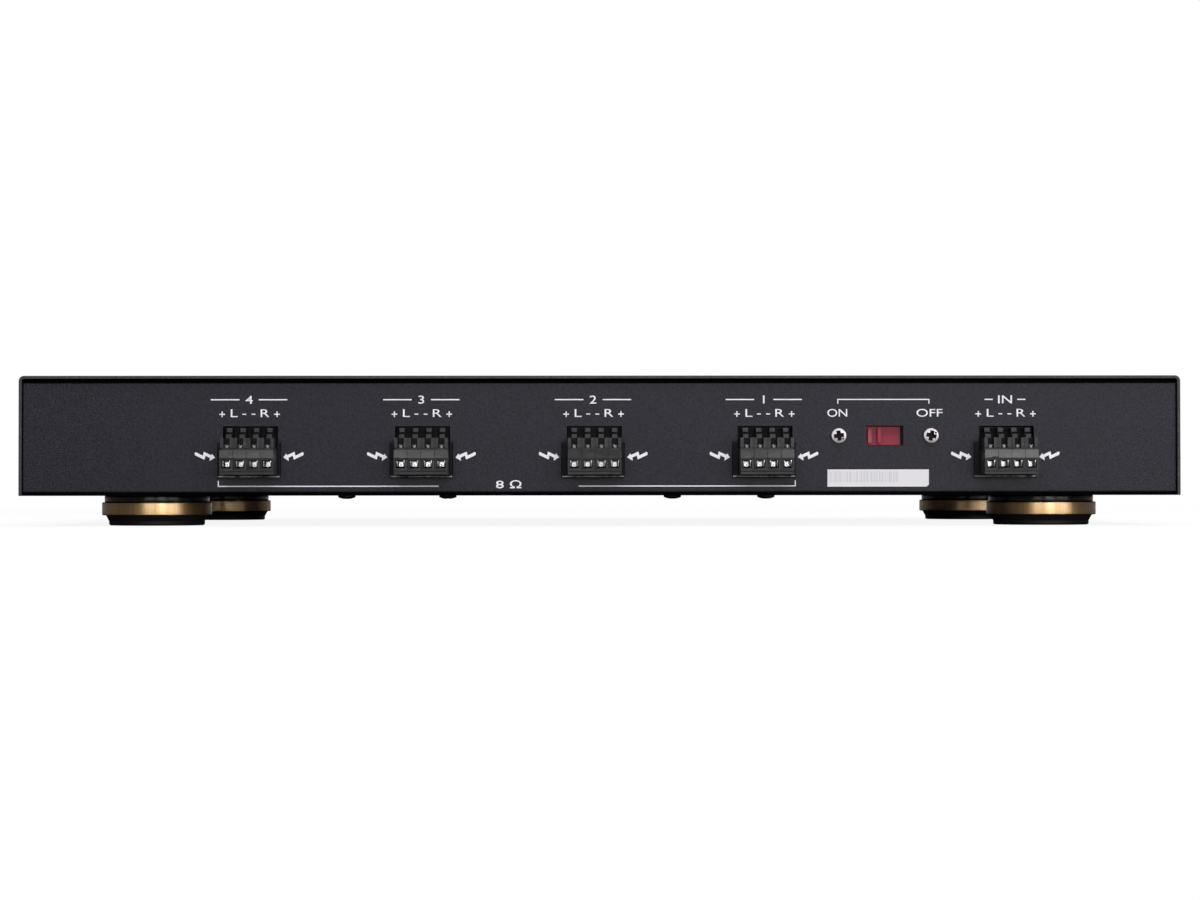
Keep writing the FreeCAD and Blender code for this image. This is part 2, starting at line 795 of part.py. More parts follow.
def volume_knob(x):
    """Knob with flat grip faces and a bevelled front, bored to the shaft's D."""
    body = bar(knob_sides, knob_flats, (x, knob_back, knob_z), (0, 1, 0), knob_length)
    front = knob_back + knob_length
    rim = [e for e in body.Edges if all(abs(v.Y - front) < 1e-6 for v in e.Vertexes)]
    body = body.makeChamfer(knob_edge, rim)
    radius, flat = shaft_radius + shaft_fit_gap, shaft_flat + shaft_fit_gap
    return body.cut(d_bar(radius, flat, x, knob_back, knob_bore_depth))


push_switch_face = support_face - push_switch_gap
cap_back = panel_back + button_travel + button_gap


def select_button(x):
    """Cap in the front panel's opening, and the stem that works the switch."""
    cap = button_bar(x, button_size, button_corner, cap_back, panel_face + button_proud - cap_back)
    start = push_switch_face - stem_hole_depth + button_travel + stem_end_gap
    return fused([cap, button_bar(x, stem_size, 0, start, cap_back - start)])


def push_switch(x):
    """Latching switch on the front board."""
    body = button_bar(x, push_switch_size, 0, front_board_face, push_switch_face - front_board_face)
    hole = button_bar(x, stem_size + 2 * button_gap, 0, push_switch_face - stem_hole_depth, stem_hole_depth)
    return body.cut(hole)


def front_board():
    """Upright board behind the switches of the knob side."""
    low = board_top + front_board_rise
    half = board_width / 2
    return block(-half, half, front_board_back, front_board_face, low, low + front_board_height)


def link_pins():
    """Right-angle pins from the main board to the back of the front board."""
    near = board_front - link_pin_inset
    far = near + link_pin_size
    low = board_top + link_pin_rise
    high = low + link_pin_size
    end = front_board_back
    points = [(near, board_top), (far, board_top), (far, low), (end, low), (end, high), (near, high)]
    pins = []
    for x in zone_x.values():
        for i in range(link_pin_count):
            start = x + link_pin_pitch * (i - (link_pin_count - 1) / 2) - link_pin_size / 2
            pins.append(prism(points, in_yz, vec(start, 0, 0), vec(link_pin_size, 0, 0)))
    return pins


# ---- autoformers and resistors ----
autoformer_places = [(x, rear_edge + inset) for x in zone_x.values() for inset in core_row_insets]
resistor_x = [resistor_first_x + resistor_pitch * i for i in range(resistor_count)]
resistor_places = [(x, rear_edge + resistor_inset) for x in resistor_x]
core_window_width = core_width / 2 - 2 * core_limb


def autoformer_core(x, y):
    """Laminated core with a window at each side of its middle limb, which is as wide as two outer ones."""
    half, deep = core_width / 2, core_thickness / 2
    core = block(x - half, x + half, y - deep, y + deep, board_top, board_top + core_height)
    half, low, high = core_window_width / 2, board_top + core_limb, board_top + core_height - core_limb
    middles = [x + side * (core_limb + half) for side in (-1, 1)]
    return cut(core, [block(middle - half, middle + half, y - deep, y + deep, low, high) for middle in middles])


def autoformer_coil(x, y):
    """Winding round the middle limb."""
    width = 2 * (core_limb + core_window_width - coil_gap)
    low = board_top + core_limb + coil_gap
    height = core_height - 2 * (core_limb + coil_gap)
    outline = cut_corners(width, coil_depth, coil_corner)
    coil = prism(outline, in_xy, vec(x, y, low), vec(0, 0, height))
    limb = core_limb + coil_gap
    deep = core_thickness / 2 + coil_gap
    return coil.cut(block(x - limb, x + limb, y - deep, y + deep, board_top, board_top + core_height))


def power_resistor(x, y):
    """Ceramic block standing off the board on its two leads."""
    half, deep = resistor_side / 2, resistor_length / 2
    low = board_top + resistor_rise
    body = block(x - half, x + half, y - deep, y + deep, low, low + resistor_side)
    lead_y = [y + side * (deep - lead_inset) for side in (-1, 1)]
    leads = [bar(4, lead_size, (x, place, board_top), (0, 0, 1), resistor_rise) for place in lead_y]
    return fused([body] + leads)


# ---- nodes ----
save("chassis_pan", [chassis_pan()])
save("top_cover", [top_cover()])
save("cover_screws", [cover_screw(side, y) for side, y in cover_screw_places])
save("front_panel", [front_panel()])
save("front_panel_screws", [front_panel_screw(x) for x in panel_screw_x])
save("foot_spacers", [foot_spacer(x, y) for x, y in foot_places])
save("foot_discs", [foot_disc(x, y) for x, y in foot_places])
save("foot_pads", [foot_pad(x, y) for x, y in foot_places])
save("foot_screws", [foot_screw(x, y) for x, y in foot_places])
save("main_board", [main_board()])
save("board_standoffs", [standoff(x, y, pan_floor) for x, y in rear_standoffs]
     + [standoff(x, y, underside) for x, y in front_standoffs])
save("base_screws", [base_screw(x, y) for x, y in rear_standoffs])
save("board_screws", [board_screw(x, y) for x, y in rear_standoffs + front_standoffs])
for name in terminal_x:
    save("terminal_header_" + name, [terminal_header(name)])
    save("terminal_plug_" + name, [terminal_plug(name)])
    save("wire_clamps_" + name, [wire_clamp(x) for x in pole_places(name)])
save("header_pins", [header_pin(x) for name in terminal_x for x in pole_places(name)])
save("protection_switch_frame", [protection_switch_frame()])
save("protection_switch_base", [protection_switch_base()])
save("protection_switch_tabs", protection_switch_tabs())
save("protection_switch_screws", [protection_switch_screw(x) for x in slide_screw_x])
save("protection_slider", [protection_slider()])
save("rotary_switches", [rotary_switch(x) for x in zone_x.values()])
save("shaft_nuts", [shaft_nut(x) for x in zone_x.values()])
save("push_switches", [push_switch(x) for x in zone_x.values()])
save("front_board", [front_board()])
save("link_pins", link_pins())
for name, x in zone_x.items():
    save("volume_knob_" + name, [volume_knob(x)])
    save("volume_shaft_" + name, [volume_shaft(x)])
    save("select_button_" + name, [select_button(x)])
save("autoformer_cores", [autoformer_core(x, y) for x, y in autoformer_places])
save("autoformer_coils", [autoformer_coil(x, y) for x, y in autoformer_places])
save("power_resistors", [power_resistor(x, y) for x, y in resistor_places])
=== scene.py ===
import json
import math

import bmesh
import bpy
from mathutils import Matrix, Vector


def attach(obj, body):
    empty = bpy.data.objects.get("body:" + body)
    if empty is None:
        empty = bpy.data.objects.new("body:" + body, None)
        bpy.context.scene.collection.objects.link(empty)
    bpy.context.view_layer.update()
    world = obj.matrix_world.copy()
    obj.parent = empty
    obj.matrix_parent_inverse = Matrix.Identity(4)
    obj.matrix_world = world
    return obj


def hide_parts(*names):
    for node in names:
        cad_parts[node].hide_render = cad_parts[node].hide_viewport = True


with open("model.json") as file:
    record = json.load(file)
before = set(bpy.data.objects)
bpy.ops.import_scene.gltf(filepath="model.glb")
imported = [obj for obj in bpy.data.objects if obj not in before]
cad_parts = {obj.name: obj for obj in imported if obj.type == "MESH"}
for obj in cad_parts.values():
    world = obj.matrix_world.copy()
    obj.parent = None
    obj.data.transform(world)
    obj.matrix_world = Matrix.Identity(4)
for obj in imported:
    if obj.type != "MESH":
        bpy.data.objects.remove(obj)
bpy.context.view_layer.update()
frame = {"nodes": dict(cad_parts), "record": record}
slot_of = {part["node"]: part["material_slot"] for part in frame["record"]["subparts"]}
body_of = {node: body for body, nodes in frame["record"]["behaviour"]["bodies"].items() for node in nodes}

MM = 0.001

# Places in mm: X to the right seen from the terminals, Y from the terminals to the knobs, Z up from the table.
UNDERSIDE = 11.4                        # of the pan
BOARD_TOP = 18.0                        # main board, on which the terminal headers stand
REAR_FACE = -145.65                     # terminal panel
PLUG_FACE = REAR_FACE - 13.0
CAGE_FACE = PLUG_FACE + 1.0             # wire cages
JAW_FACE = CAGE_FACE + 3.9              # jaws inside the cages
TOWER_FACE = PLUG_FACE + 1.6            # divided towers over the wire holes
PANEL_FACE = 141.85                     # plate on the knob side
KNOB_BACK, KNOB_Z = PANEL_FACE + 0.8, 33.7
SLIDE_X, SLIDE_Z = 105.9, 33.6          # middle of the slide switch
WINDOW = (7.6, 5.0)                     # from that middle to just past the edges of the panel's window
FRAME_WINDOW = (8.5, 5.5)               # the same for the switch frame's window
RED_END, GRIP_FOOT = 111.9, -143.3      # right end of the slider's red, past which it is painted dark as shade, and foot of its ribs
BEND_LOW, BEND_HIGH = 12.8, 53.2        # below and above them the terminal panel is painted almost black as the shade on its bends
RIM_LOW, RIM_HIGH = BOARD_TOP + 0.3, BOARD_TOP + 0.72   # painted highlight: a light line on a header's lower rim
INK = 0.02                              # print stands this far in front of its panel

TERMINALS = {"4": -130.7, "3": -66.7, "2": -2.8, "1": 60.8, "input": 150.8}
ZONES = {"1": 150.0, "2": 50.0, "3": -50.0, "4": -150.0}
PLUG_SHIFT = 0.5                        # plug's middle from its header's
POLES = (-7.5, -2.5, 2.5, 7.5)
FOOT_PLACES = [(x, y) for x in (-171.0, 171.0) for y in (-103.85, 105.85)]
LEFT, RIGHT, REAR, FRONT, UP, DOWN = (-1, 0, 0), (1, 0, 0), (0, -1, 0), (0, 1, 0), (0, 0, 1), (0, 0, -1)
UPRIGHT = Matrix.Rotation(math.pi / 2, 4, "X")      # turns flat marks to face the terminals' side
UPRIGHT_AT_KNOBS = Matrix.Rotation(math.pi, 4, "Z") @ UPRIGHT   # and the knobs' side


# ---- camera ----
def make_camera():
    data = bpy.data.cameras.new("camera")
    data.lens, data.sensor_width = 83.67, 36.0
    data.clip_start, data.clip_end = 0.02, 60.0
    camera = bpy.data.objects.new("camera", data)
    camera.location = (-0.0099, -1.1836, 0.0131)
    camera.rotation_euler = (math.radians(90.84), math.radians(0.05), math.radians(-0.534))
    bpy.context.scene.collection.objects.link(camera)
    bpy.context.scene.camera = camera


make_camera()
bpy.context.scene.view_settings.view_transform = "Standard"


# ---- node trees ----
def add(tree, kind, inputs=(), out=0, **settings):
    """Adds a node. inputs maps a socket's name or index to a constant or to the socket that feeds it."""
    made = tree.nodes.new(kind)
    for name, value in settings.items():
        setattr(made, name, value)
    for key, value in dict(inputs).items():
        socket = made.inputs[key]
        if isinstance(value, bpy.types.NodeSocket):
            tree.links.new(value, socket)
        else:
            socket.default_value = value
    return made.outputs[out]


def math_of(tree, operation, a, b=0.0, c=0.0):
    return add(tree, "ShaderNodeMath", {0: a, 1: b, 2: c}, operation=operation)


def product(tree, a, b):
    return math_of(tree, "MULTIPLY", a, b)


def vector_of(tree, operation, a, b=(0.0, 0.0, 0.0), out=0):
    """Vector arithmetic; output 1 is the number that a length or a dot product gives."""
    return add(tree, "ShaderNodeVectorMath", {0: a, 1: b}, out=out, operation=operation)


def object_place(tree):
    return add(tree, "ShaderNodeTexCoord", out=3)


def ramp(tree, value, low, high, to_low=0.0, to_high=1.0):
    """Smooth step of value from low..high to to_low..to_high."""
    return add(tree, "ShaderNodeMapRange",
               {"Value": value, "From Min": low, "From Max": high, "To Min": to_low, "To Max": to_high},
               interpolation_type="SMOOTHSTEP")


def new_group(name, kind, inputs, outputs):
    """Group with named inputs {name: (socket type, default)} and outputs {name: socket type}."""
    tree = bpy.data.node_groups.new(name, kind)
    for label, (socket, default) in inputs.items():
        item = tree.interface.new_socket(name=label, in_out="INPUT", socket_type=socket)
        if default is not None:
            item.default_value = default
    for label, socket in outputs.items():
        tree.interface.new_socket(name=label, in_out="OUTPUT", socket_type=socket)
    return tree, tree.nodes.new("NodeGroupInput").outputs, tree.nodes.new("NodeGroupOutput").inputs


# ---- shader groups ----
def grain_group():
    """Fine pebbled surface: two sizes of noise for its height, and slow drifts for tone and gloss."""
    tree, given, wanted = new_group(
        "fine_grain", "ShaderNodeTree",
        {"Scale": ("NodeSocketFloat", 1500.0), "Stretch": ("NodeSocketVector", (1.0, 1.0, 1.0))},
        {"Height": "NodeSocketFloat", "Tone": "NodeSocketFloat", "Gloss": "NodeSocketFloat"})
    place = vector_of(tree, "MULTIPLY", object_place(tree), given["Stretch"])
    coarse = add(tree, "ShaderNodeTexNoise",
                 {"Vector": place, "Scale": given["Scale"], "Detail": 3.0, "Roughness": 0.6})
    finer = product(tree, given["Scale"], 2.7)
    fine = add(tree, "ShaderNodeTexVoronoi", {"Vector": place, "Scale": finer, "Randomness": 1.0})
    height = math_of(tree, "ADD", product(tree, coarse, 0.7), product(tree, fine, 0.3))
    slow = product(tree, given["Scale"], 0.012)
    drift = add(tree, "ShaderNodeTexNoise", {"Vector": place, "Scale": slow, "Detail": 4.0})
    tree.links.new(height, wanted["Height"])
    tone = math_of(tree, "ADD", product(tree, coarse, 0.95), product(tree, drift, 0.05))
    tree.links.new(tone, wanted["Tone"])
    tree.links.new(drift, wanted["Gloss"])
    return tree


def wear_group():
    """Edges rubbed a little lighter, broken up by noise."""
    tree, given, wanted = new_group(
        "edge_wear", "ShaderNodeTree",
        {"Scale": ("NodeSocketFloat", 300.0), "Amount": ("NodeSocketFloat", 0.5)},
        {"Mask": "NodeSocketFloat"})
    pointiness = add(tree, "ShaderNodeNewGeometry", out=7)
    broken = add(tree, "ShaderNodeTexNoise", {"Vector": object_place(tree), "Scale": given["Scale"], "Detail": 5.0})
    edge = ramp(tree, math_of(tree, "ADD", pointiness, product(tree, broken, 0.12)), 0.58, 0.7)
    tree.links.new(product(tree, edge, given["Amount"]), wanted["Mask"])
    return tree


def turned_group():
    """Lathe lines: the height and the tone change with the distance from the axis and along it."""
    tree, given, wanted = new_group(
        "turned_lines", "ShaderNodeTree",
        {"Centre": ("NodeSocketVector", (0.0, 0.0, 0.0)), "Along": ("NodeSocketVector", (0.0, 0.0, 1.0)),
         "Scale": ("NodeSocketFloat", 6000.0)},
        {"Height": "NodeSocketFloat", "Tone": "NodeSocketFloat"})
    arm = vector_of(tree, "SUBTRACT", object_place(tree), given["Centre"])
    depth = vector_of(tree, "DOT_PRODUCT", arm, given["Along"], out=1)
    lift = add(tree, "ShaderNodeVectorMath", {0: given["Along"], 3: depth}, operation="SCALE")
    flat = vector_of(tree, "SUBTRACT", arm, lift)
    radius = vector_of(tree, "LENGTH", flat, out=1)
    line = add(tree, "ShaderNodeCombineXYZ", {0: radius, 1: depth})
    height = add(tree, "ShaderNodeTexNoise", {"Vector": line, "Scale": given["Scale"], "Detail": 2.0})
    slower = product(tree, given["Scale"], 0.2)
    tone = add(tree, "ShaderNodeTexNoise", {"Vector": line, "Scale": slower, "Detail": 3.0})
    tree.links.new(height, wanted["Height"])
    tree.links.new(tone, wanted["Tone"])
    return tree


def streak_group():
    """Fine streaks along the axis of a turned rim: the height and the tone change with the angle round it."""
    tree, given, wanted = new_group(
        "rim_streaks", "ShaderNodeTree",
        {"Centre": ("NodeSocketVector", (0.0, 0.0, 0.0)), "Scale": ("NodeSocketFloat", 60.0)},
        {"Height": "NodeSocketFloat", "Tone": "NodeSocketFloat"})
    arm = vector_of(tree, "SUBTRACT", object_place(tree), given["Centre"])
    flat = vector_of(tree, "MULTIPLY", arm, (1.0, 1.0, 0.0))
    round_it = vector_of(tree, "NORMALIZE", flat)
    fine = product(tree, given["Scale"], 4.0)
    height = add(tree, "ShaderNodeTexNoise", {"Vector": round_it, "Scale": fine, "Detail": 2.0})
    tone = add(tree, "ShaderNodeTexNoise", {"Vector": round_it, "Scale": given["Scale"], "Detail": 3.0})
    tree.links.new(height, wanted["Height"])
    tree.links.new(tone, wanted["Tone"])
    return tree


GRAIN, WEAR, TURNED, STREAKS = grain_group(), wear_group(), turned_group(), streak_group()


# ---- materials ----
class Finish:
    """One material being made: its tree, its Principled node, and what feeds that node's colour, gloss and normal."""

    def __init__(self, name, **sockets):
        self.material = bpy.data.materials.new(name)
        self.material.use_nodes = True
        self.tree = self.material.node_tree
        self.shader = self.tree.nodes["Principled BSDF"]
        for label, value in sockets.items():
            self.shader.inputs[label.replace("_", " ")].default_value = value

    def group(self, tree, **inputs):
        made = add(self.tree, "ShaderNodeGroup", node_tree=tree).node
        for label, value in inputs.items():
            made.inputs[label].default_value = value
        return made.outputs

    def mix(self, mask, below, above):
        mixed = add(self.tree, "ShaderNodeMix", {0: mask, 6: below, 7: above}, out=2, data_type="RGBA")
        self.tree.links.new(mixed, self.shader.inputs["Base Color"])
        return mixed

    def colours(self, mask, dark, light):
        return self.mix(mask, (*dark, 1.0), (*light, 1.0))

    def gloss(self, mask, low, high):
        self.tree.links.new(ramp(self.tree, mask, 0.25, 0.75, low, high), self.shader.inputs["Roughness"])

    def relief(self, height, distance):
        normal = add(self.tree, "ShaderNodeBump", {"Height": height, "Distance": distance})
        self.tree.links.new(normal, self.shader.inputs["Normal"])


def spread(colour, share):
    """The colour's darkest and lightest shades."""
    return tuple(c * (1 - share) for c in colour), tuple(c * (1 + share) for c in colour)


def grained(name, colour, share, scale, depth, low, high, wear=0.0, worn=(0, 0, 0), stretch=(1, 1, 1), **sockets):
    """Paint, moulding or plating: grain of the given scale and depth in metres, a drift in tone by share and in
    roughness from low to high, and rubbed edges where wear is given."""
    made = Finish(name, **sockets)
    grain = made.group(GRAIN, Scale=scale, Stretch=stretch)
    colour = made.colours(ramp(made.tree, grain["Tone"], 0.3, 0.7), *spread(colour, share))
    if wear:
        edges = made.group(WEAR, Amount=wear)
        made.mix(edges["Mask"], colour, (*worn, 1.0))
    made.gloss(grain["Gloss"], low, high)
    made.relief(grain["Height"], depth)
    return made.material


def turned(name, colour, share, centre, along, scale, depth, low, high, **sockets):
    """Metal or plastic from a lathe, with the numbers of grained and its axis through centre, in metres."""
    made = Finish(name, **sockets)
    lines = made.group(TURNED, Centre=centre, Along=along, Scale=scale)
    made.colours(ramp(made.tree, lines["Tone"], 0.3, 0.7), *spread(colour, share))
    made.gloss(lines["Tone"], low, high)
    made.relief(lines["Height"], depth)
    return made.material


def winding():
    made = Finish("winding_copper", Metallic=0.75, Roughness=0.35)
    place = object_place(made.tree)
    turns = add(made.tree, "ShaderNodeTexWave", {"Vector": place, "Scale": 420.0, "Distortion": 0.6, "Detail": 1.0},
                out=1, bands_direction="Z")
    made.colours(turns, (0.16, 0.06, 0.02), (0.55, 0.27, 0.12))
    made.relief(turns, 0.0003)
    return made.material


def laminations():
    made = Finish("core_steel", Metallic=0.8)
    place = object_place(made.tree)
    sheets = add(made.tree, "ShaderNodeTexWave", {"Vector": place, "Scale": 320.0, "Distortion": 0.3, "Detail": 2.0},
                 out=1, bands_direction="Y")
    made.colours(sheets, (0.2, 0.2, 0.21), (0.36, 0.36, 0.37))
    made.gloss(sheets, 0.35, 0.55)
    made.relief(sheets, 0.00015)
    return made.material


def solder_mask():
    """Green board with paler tracks under the mask."""
    made = Finish("circuit_board", Roughness=0.35)
    place = object_place(made.tree)
    bricks = add(made.tree, "ShaderNodeTexBrick",
                 {"Vector": place, "Scale": 70.0, "Color1": (0, 0, 0, 1), "Color2": (0.25, 0.25, 0.25, 1),
                  "Mortar": (1, 1, 1, 1), "Mortar Size": 0.035}, offset=0.37, squash=1.6)
    made.colours(bricks, (0.018, 0.095, 0.045), (0.05, 0.19, 0.09))
    made.relief(bricks, 0.00003)
    grain = made.group(GRAIN, Scale=400.0)
    made.gloss(grain["Gloss"], 0.28, 0.42)
    return made.material


# Name: colour, its drift as a share of it, scale of the grain, its depth in metres, least and most roughness, the rest.
GRAINED = {
    "case_steel": ((0.0085, 0.0078, 0.0165), 0.5, 1100.0, 0.00012, 0.42, 0.45, dict(Specular_IOR_Level=0.3)),
    "front_aluminium": ((0.05, 0.05, 0.054), 0.3, 1500.0, 0.00003, 0.3, 0.42,
                        dict(stretch=(0.02, 1.0, 1.0), Metallic=0.6)),
    "black_screw": ((0.018, 0.018, 0.02), 0.3, 2600.0, 0.00003, 0.3, 0.42, dict(wear=0.5, worn=(0.16, 0.16, 0.17))),
    "nickel_screw": ((0.66, 0.61, 0.65), 0.08, 2600.0, 0.00001, 0.4, 0.48, dict(Metallic=1.0)),
    "dull_screw": ((0.36, 0.36, 0.37), 0.2, 2000.0, 0.00003, 0.5, 0.6, dict(Metallic=1.0)),
    # painted shade for the wire cages' insides
    "painted_cage_shade": ((0.03, 0.022, 0.018), 0.3, 1800.0, 0.00002, 0.4, 0.5, dict(Metallic=1.0)),
    "clamp_mark": ((0.42, 0.46, 0.52), 0.2, 3000.0, 0.00002, 0.3, 0.4, dict(Metallic=1.0)),
    "cut_edge": ((0.032, 0.032, 0.038), 0.35, 900.0, 0.00004, 0.45, 0.55, dict(Metallic=0.2)),
    "rubbed_paint": ((0.013, 0.0125, 0.017), 0.5, 500.0, 0.00004, 0.36, 0.46, {}),
    "rubbed_plate": ((0.2, 0.2, 0.205), 0.4, 600.0, 0.00002, 0.24, 0.36, dict(Metallic=1.0)),
    "bright_cut": ((0.7, 0.7, 0.71), 0.1, 1800.0, 0.00001, 0.18, 0.26, dict(Metallic=1.0)),
    "zinc": ((0.6, 0.6, 0.62), 0.15, 900.0, 0.00003, 0.28, 0.45, dict(Metallic=1.0)),
    "tin": ((0.68, 0.68, 0.69), 0.08, 1500.0, 0.00003, 0.25, 0.4, dict(Metallic=1.0)),
    "foot_rubber": ((0.009, 0.009, 0.009), 0.25, 1500.0, 0.00005, 0.42, 0.56, dict(Specular_IOR_Level=0.3)),
    "terminal_plastic": ((0.012, 0.0115, 0.0135), 0.25, 2400.0, 0.00003, 0.3, 0.4,
                         dict(wear=0.3, worn=(0.1, 0.1, 0.11), Specular_IOR_Level=0.3)),
    "plug_band": ((0.011, 0.0105, 0.0125), 0.25, 1500.0, 0.000004, 0.1, 0.2,
                  dict(wear=0.3, worn=(0.1, 0.1, 0.11), Specular_IOR_Level=0.34)),
    # the headers' own dark plastic, also painted as shade in the switch's window, on its frame, past the slider's red
    # end, in the plugs' recesses and inside the switch screws' crosses
    "dark_plastic_and_painted_shade": ((0.006, 0.006, 0.007), 0.2, 2400.0, 0.00005, 0.5, 0.6, dict(Specular_IOR_Level=0.15)),
    "clamp_nickel": ((0.8, 0.79, 0.77), 0.08, 1800.0, 0.000004, 0.22, 0.32, dict(Metallic=1.0)),
    "slider_red": ((0.285, 0.021, 0.042), 0.1, 1800.0, 0.00004, 0.4, 0.5,
                   dict(wear=0.25, worn=(0.52, 0.2, 0.23), Specular_IOR_Level=0.3)),
    # painted shade on the sides of the slider's ribs
    "painted_rib_shade": ((0.1, 0.005, 0.012), 0.15, 1800.0, 0.00004, 0.5, 0.6, dict(Specular_IOR_Level=0.2)),
    # painted shade on the terminal panel's bends
    "painted_bend_shade": ((0.0016, 0.0016, 0.002), 0.4, 1100.0, 0.00006, 0.6, 0.7, dict(Specular_IOR_Level=0.06)),
    # painted highlight on the headers' lower rims
    "painted_rim_highlight": ((0.2, 0.2, 0.2), 0.9, 420.0, 0.00004, 0.3, 0.6, dict(stretch=(1.0, 0.2, 0.2), Metallic=0.4)),
    "black_plastic": ((0.02, 0.02, 0.02), 0.2, 1600.0, 0.00006, 0.4, 0.55, {}),
    "button_plastic": ((0.025, 0.025, 0.027), 0.2, 2000.0, 0.00004, 0.34, 0.46, dict(wear=0.3, worn=(0.1, 0.1, 0.1))),
    "ceramic": ((0.62, 0.6, 0.55), 0.1, 700.0, 0.0001, 0.7, 0.85, {}),
    "print_white": ((0.85, 0.85, 0.88), 0.08, 2600.0, 0.00003, 0.5, 0.65, {}),
}
MATERIALS = {name: grained(name, *numbers, **rest) for name, (*numbers, rest) in GRAINED.items()}
MATERIALS["foot_plastic"] = turned("foot_plastic", (0.005, 0.005, 0.006), 0.2, (0, 0, 0), UP, 3000.0, 0.000003, 0.14,
                                   0.22, Specular_IOR_Level=0.4)
MATERIALS["circuit_board"] = solder_mask()
MATERIALS["core_steel"] = laminations()
MATERIALS["winding_copper"] = winding()


# ---- pieces ----
SAME_PLACE = 2e6                    # corners that round to the same half thousandth of a mm are one
FLAT_ANGLE = math.radians(0.5)      # faces that meet at less are one flat face
EDGE_ANGLE = math.radians(35.0)     # sharper edges are rounded


def link(name, mesh, material):
    piece = bpy.data.objects.new(name, mesh)
    bpy.context.scene.collection.objects.link(piece)
    mesh.materials.clear()
    mesh.materials.append(material)
    return piece


def evaluated(piece):
    """Turns a piece with modifiers, or a curve or text, into its plain mesh."""
    return bpy.data.meshes.new_from_object(piece.evaluated_get(bpy.context.evaluated_depsgraph_get()))


def settle(piece):
    """Applies a mesh piece's modifiers."""
    mesh = evaluated(piece)
    piece.modifiers.clear()
    piece.data = mesh


def ride(piece, body, slot, *nodes):
    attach(piece, body)
    if nodes:
        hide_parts(*nodes)
    return piece


def merged(node, *lines):
    """A node's faces as a fresh mesh, with its loose triangles joined and its flat faces whole but for the lines, each
    (axis, place in mm), at which a painted strip begins."""
    source = frame["nodes"][node].data
    made = bmesh.new()
    corners = {}
    for polygon in source.polygons:
        face = []
        for index in polygon.vertices:
            place = source.vertices[index].co
            key = tuple(round(c * SAME_PLACE) for c in place)
            if key not in corners:
                corners[key] = made.verts.new(place)
            face.append(corners[key])
        if len(set(face)) == 3:
            try:
                made.faces.new(face)
            except ValueError:
                continue
    bmesh.ops.dissolve_limit(made, angle_limit=FLAT_ANGLE, verts=made.verts[:], edges=made.edges[:])
    for axis, place in lines:
        across = Vector([float(axis == i) for i in range(3)])
        bmesh.ops.bisect_plane(made, geom=made.verts[:] + made.edges[:] + made.faces[:], dist=1e-7,
                               plane_co=across * place * MM, plane_no=across)
    mesh = bpy.data.meshes.new(node)
    made.to_mesh(mesh)
    made.free()
    return mesh


def shade(piece):
    """Keeps the flat faces of a smooth piece flat."""
    weighted = piece.modifiers.new("shade", "WEIGHTED_NORMAL")
    weighted.weight, weighted.keep_sharp = 100, True
    settle(piece)


def paint_faces(piece, *rules):
    """Gives the faces that a rule picks the rule's material: each rule is (material's name, test of centre in mm and
    normal)."""
    mesh = piece.data
    for name, picks in rules:
        mesh.materials.append(MATERIALS[name])
        for face in mesh.polygons:
            if picks(face.center / MM, face.normal):
                face.material_index = len(mesh.materials) - 1


def soften(piece, width, segments=2, rubbed=None):
    """Rounds a piece's edges by width in mm, in a rubbed finish where one is given, and keeps its flat faces flat."""
    mesh = piece.data
    mesh.polygons.foreach_set("use_smooth", [True] * len(mesh.polygons))
    bevel = piece.modifiers.new("edges", "BEVEL")
    bevel.width, bevel.segments = width * MM, segments
    bevel.limit_method, bevel.angle_limit = "ANGLE", EDGE_ANGLE
    bevel.use_clamp_overlap = True
    if rubbed:
        mesh.materials.append(MATERIALS[rubbed])
        bevel.material = len(mesh.materials) - 1
    shade(piece)


def dress(node, width, segments=2, material=None, rubbed=None, lines=()):
    """A node's own shape with its edges softened, in its slot's material unless another is given."""
    slot = slot_of[node]
    piece = link("dressed_" + node, merged(node, *lines), material or MATERIALS[slot])
    soften(piece, width, segments, rubbed)
    return ride(piece, body_of[node], slot, node)


def box_faces(corners, faces, x0, x1, y0, y1, z0, z1):
    """Adds a box in mm to lists of corners and faces."""
    first = len(corners)
    corners += [(x * MM, y * MM, z * MM) for z in (z0, z1) for y in (y0, y1) for x in (x0, x1)]
    faces += [[first + i for i in face] for face in
              ((0, 2, 3, 1), (4, 5, 7, 6), (0, 1, 5, 4), (1, 3, 7, 5), (3, 2, 6, 7), (2, 0, 4, 6))]


# In mm: heights over the board, from and to, and depth from the plug's face, of the seam between two modules; depths
# between which the plug's front faces are painted dark as the shade in its recesses; heights of the polished band over
# the wire holes.
SEAMS, SEAM_HALF = ((1.0, 1.8, 0.42), (2.3, 10.0, 0.14), (11.2, 14.9, 1.76)), 0.07
SHADE_DEPTHS = ((4.6, 7.6), (12.0, math.inf))
BAND_LOW, BAND_HIGH = 7.1, 10.3


def plug_finish(depth, height):
    """Index of the material of a plug's face that looks at the wires: 0 moulded, 1 painted shade in the recesses, 2
    polished.
    """
    if any(low < depth < high for low, high in SHADE_DEPTHS):
        return 1
    return 2 if depth < 0.1 and BAND_LOW < height < BAND_HIGH else 0


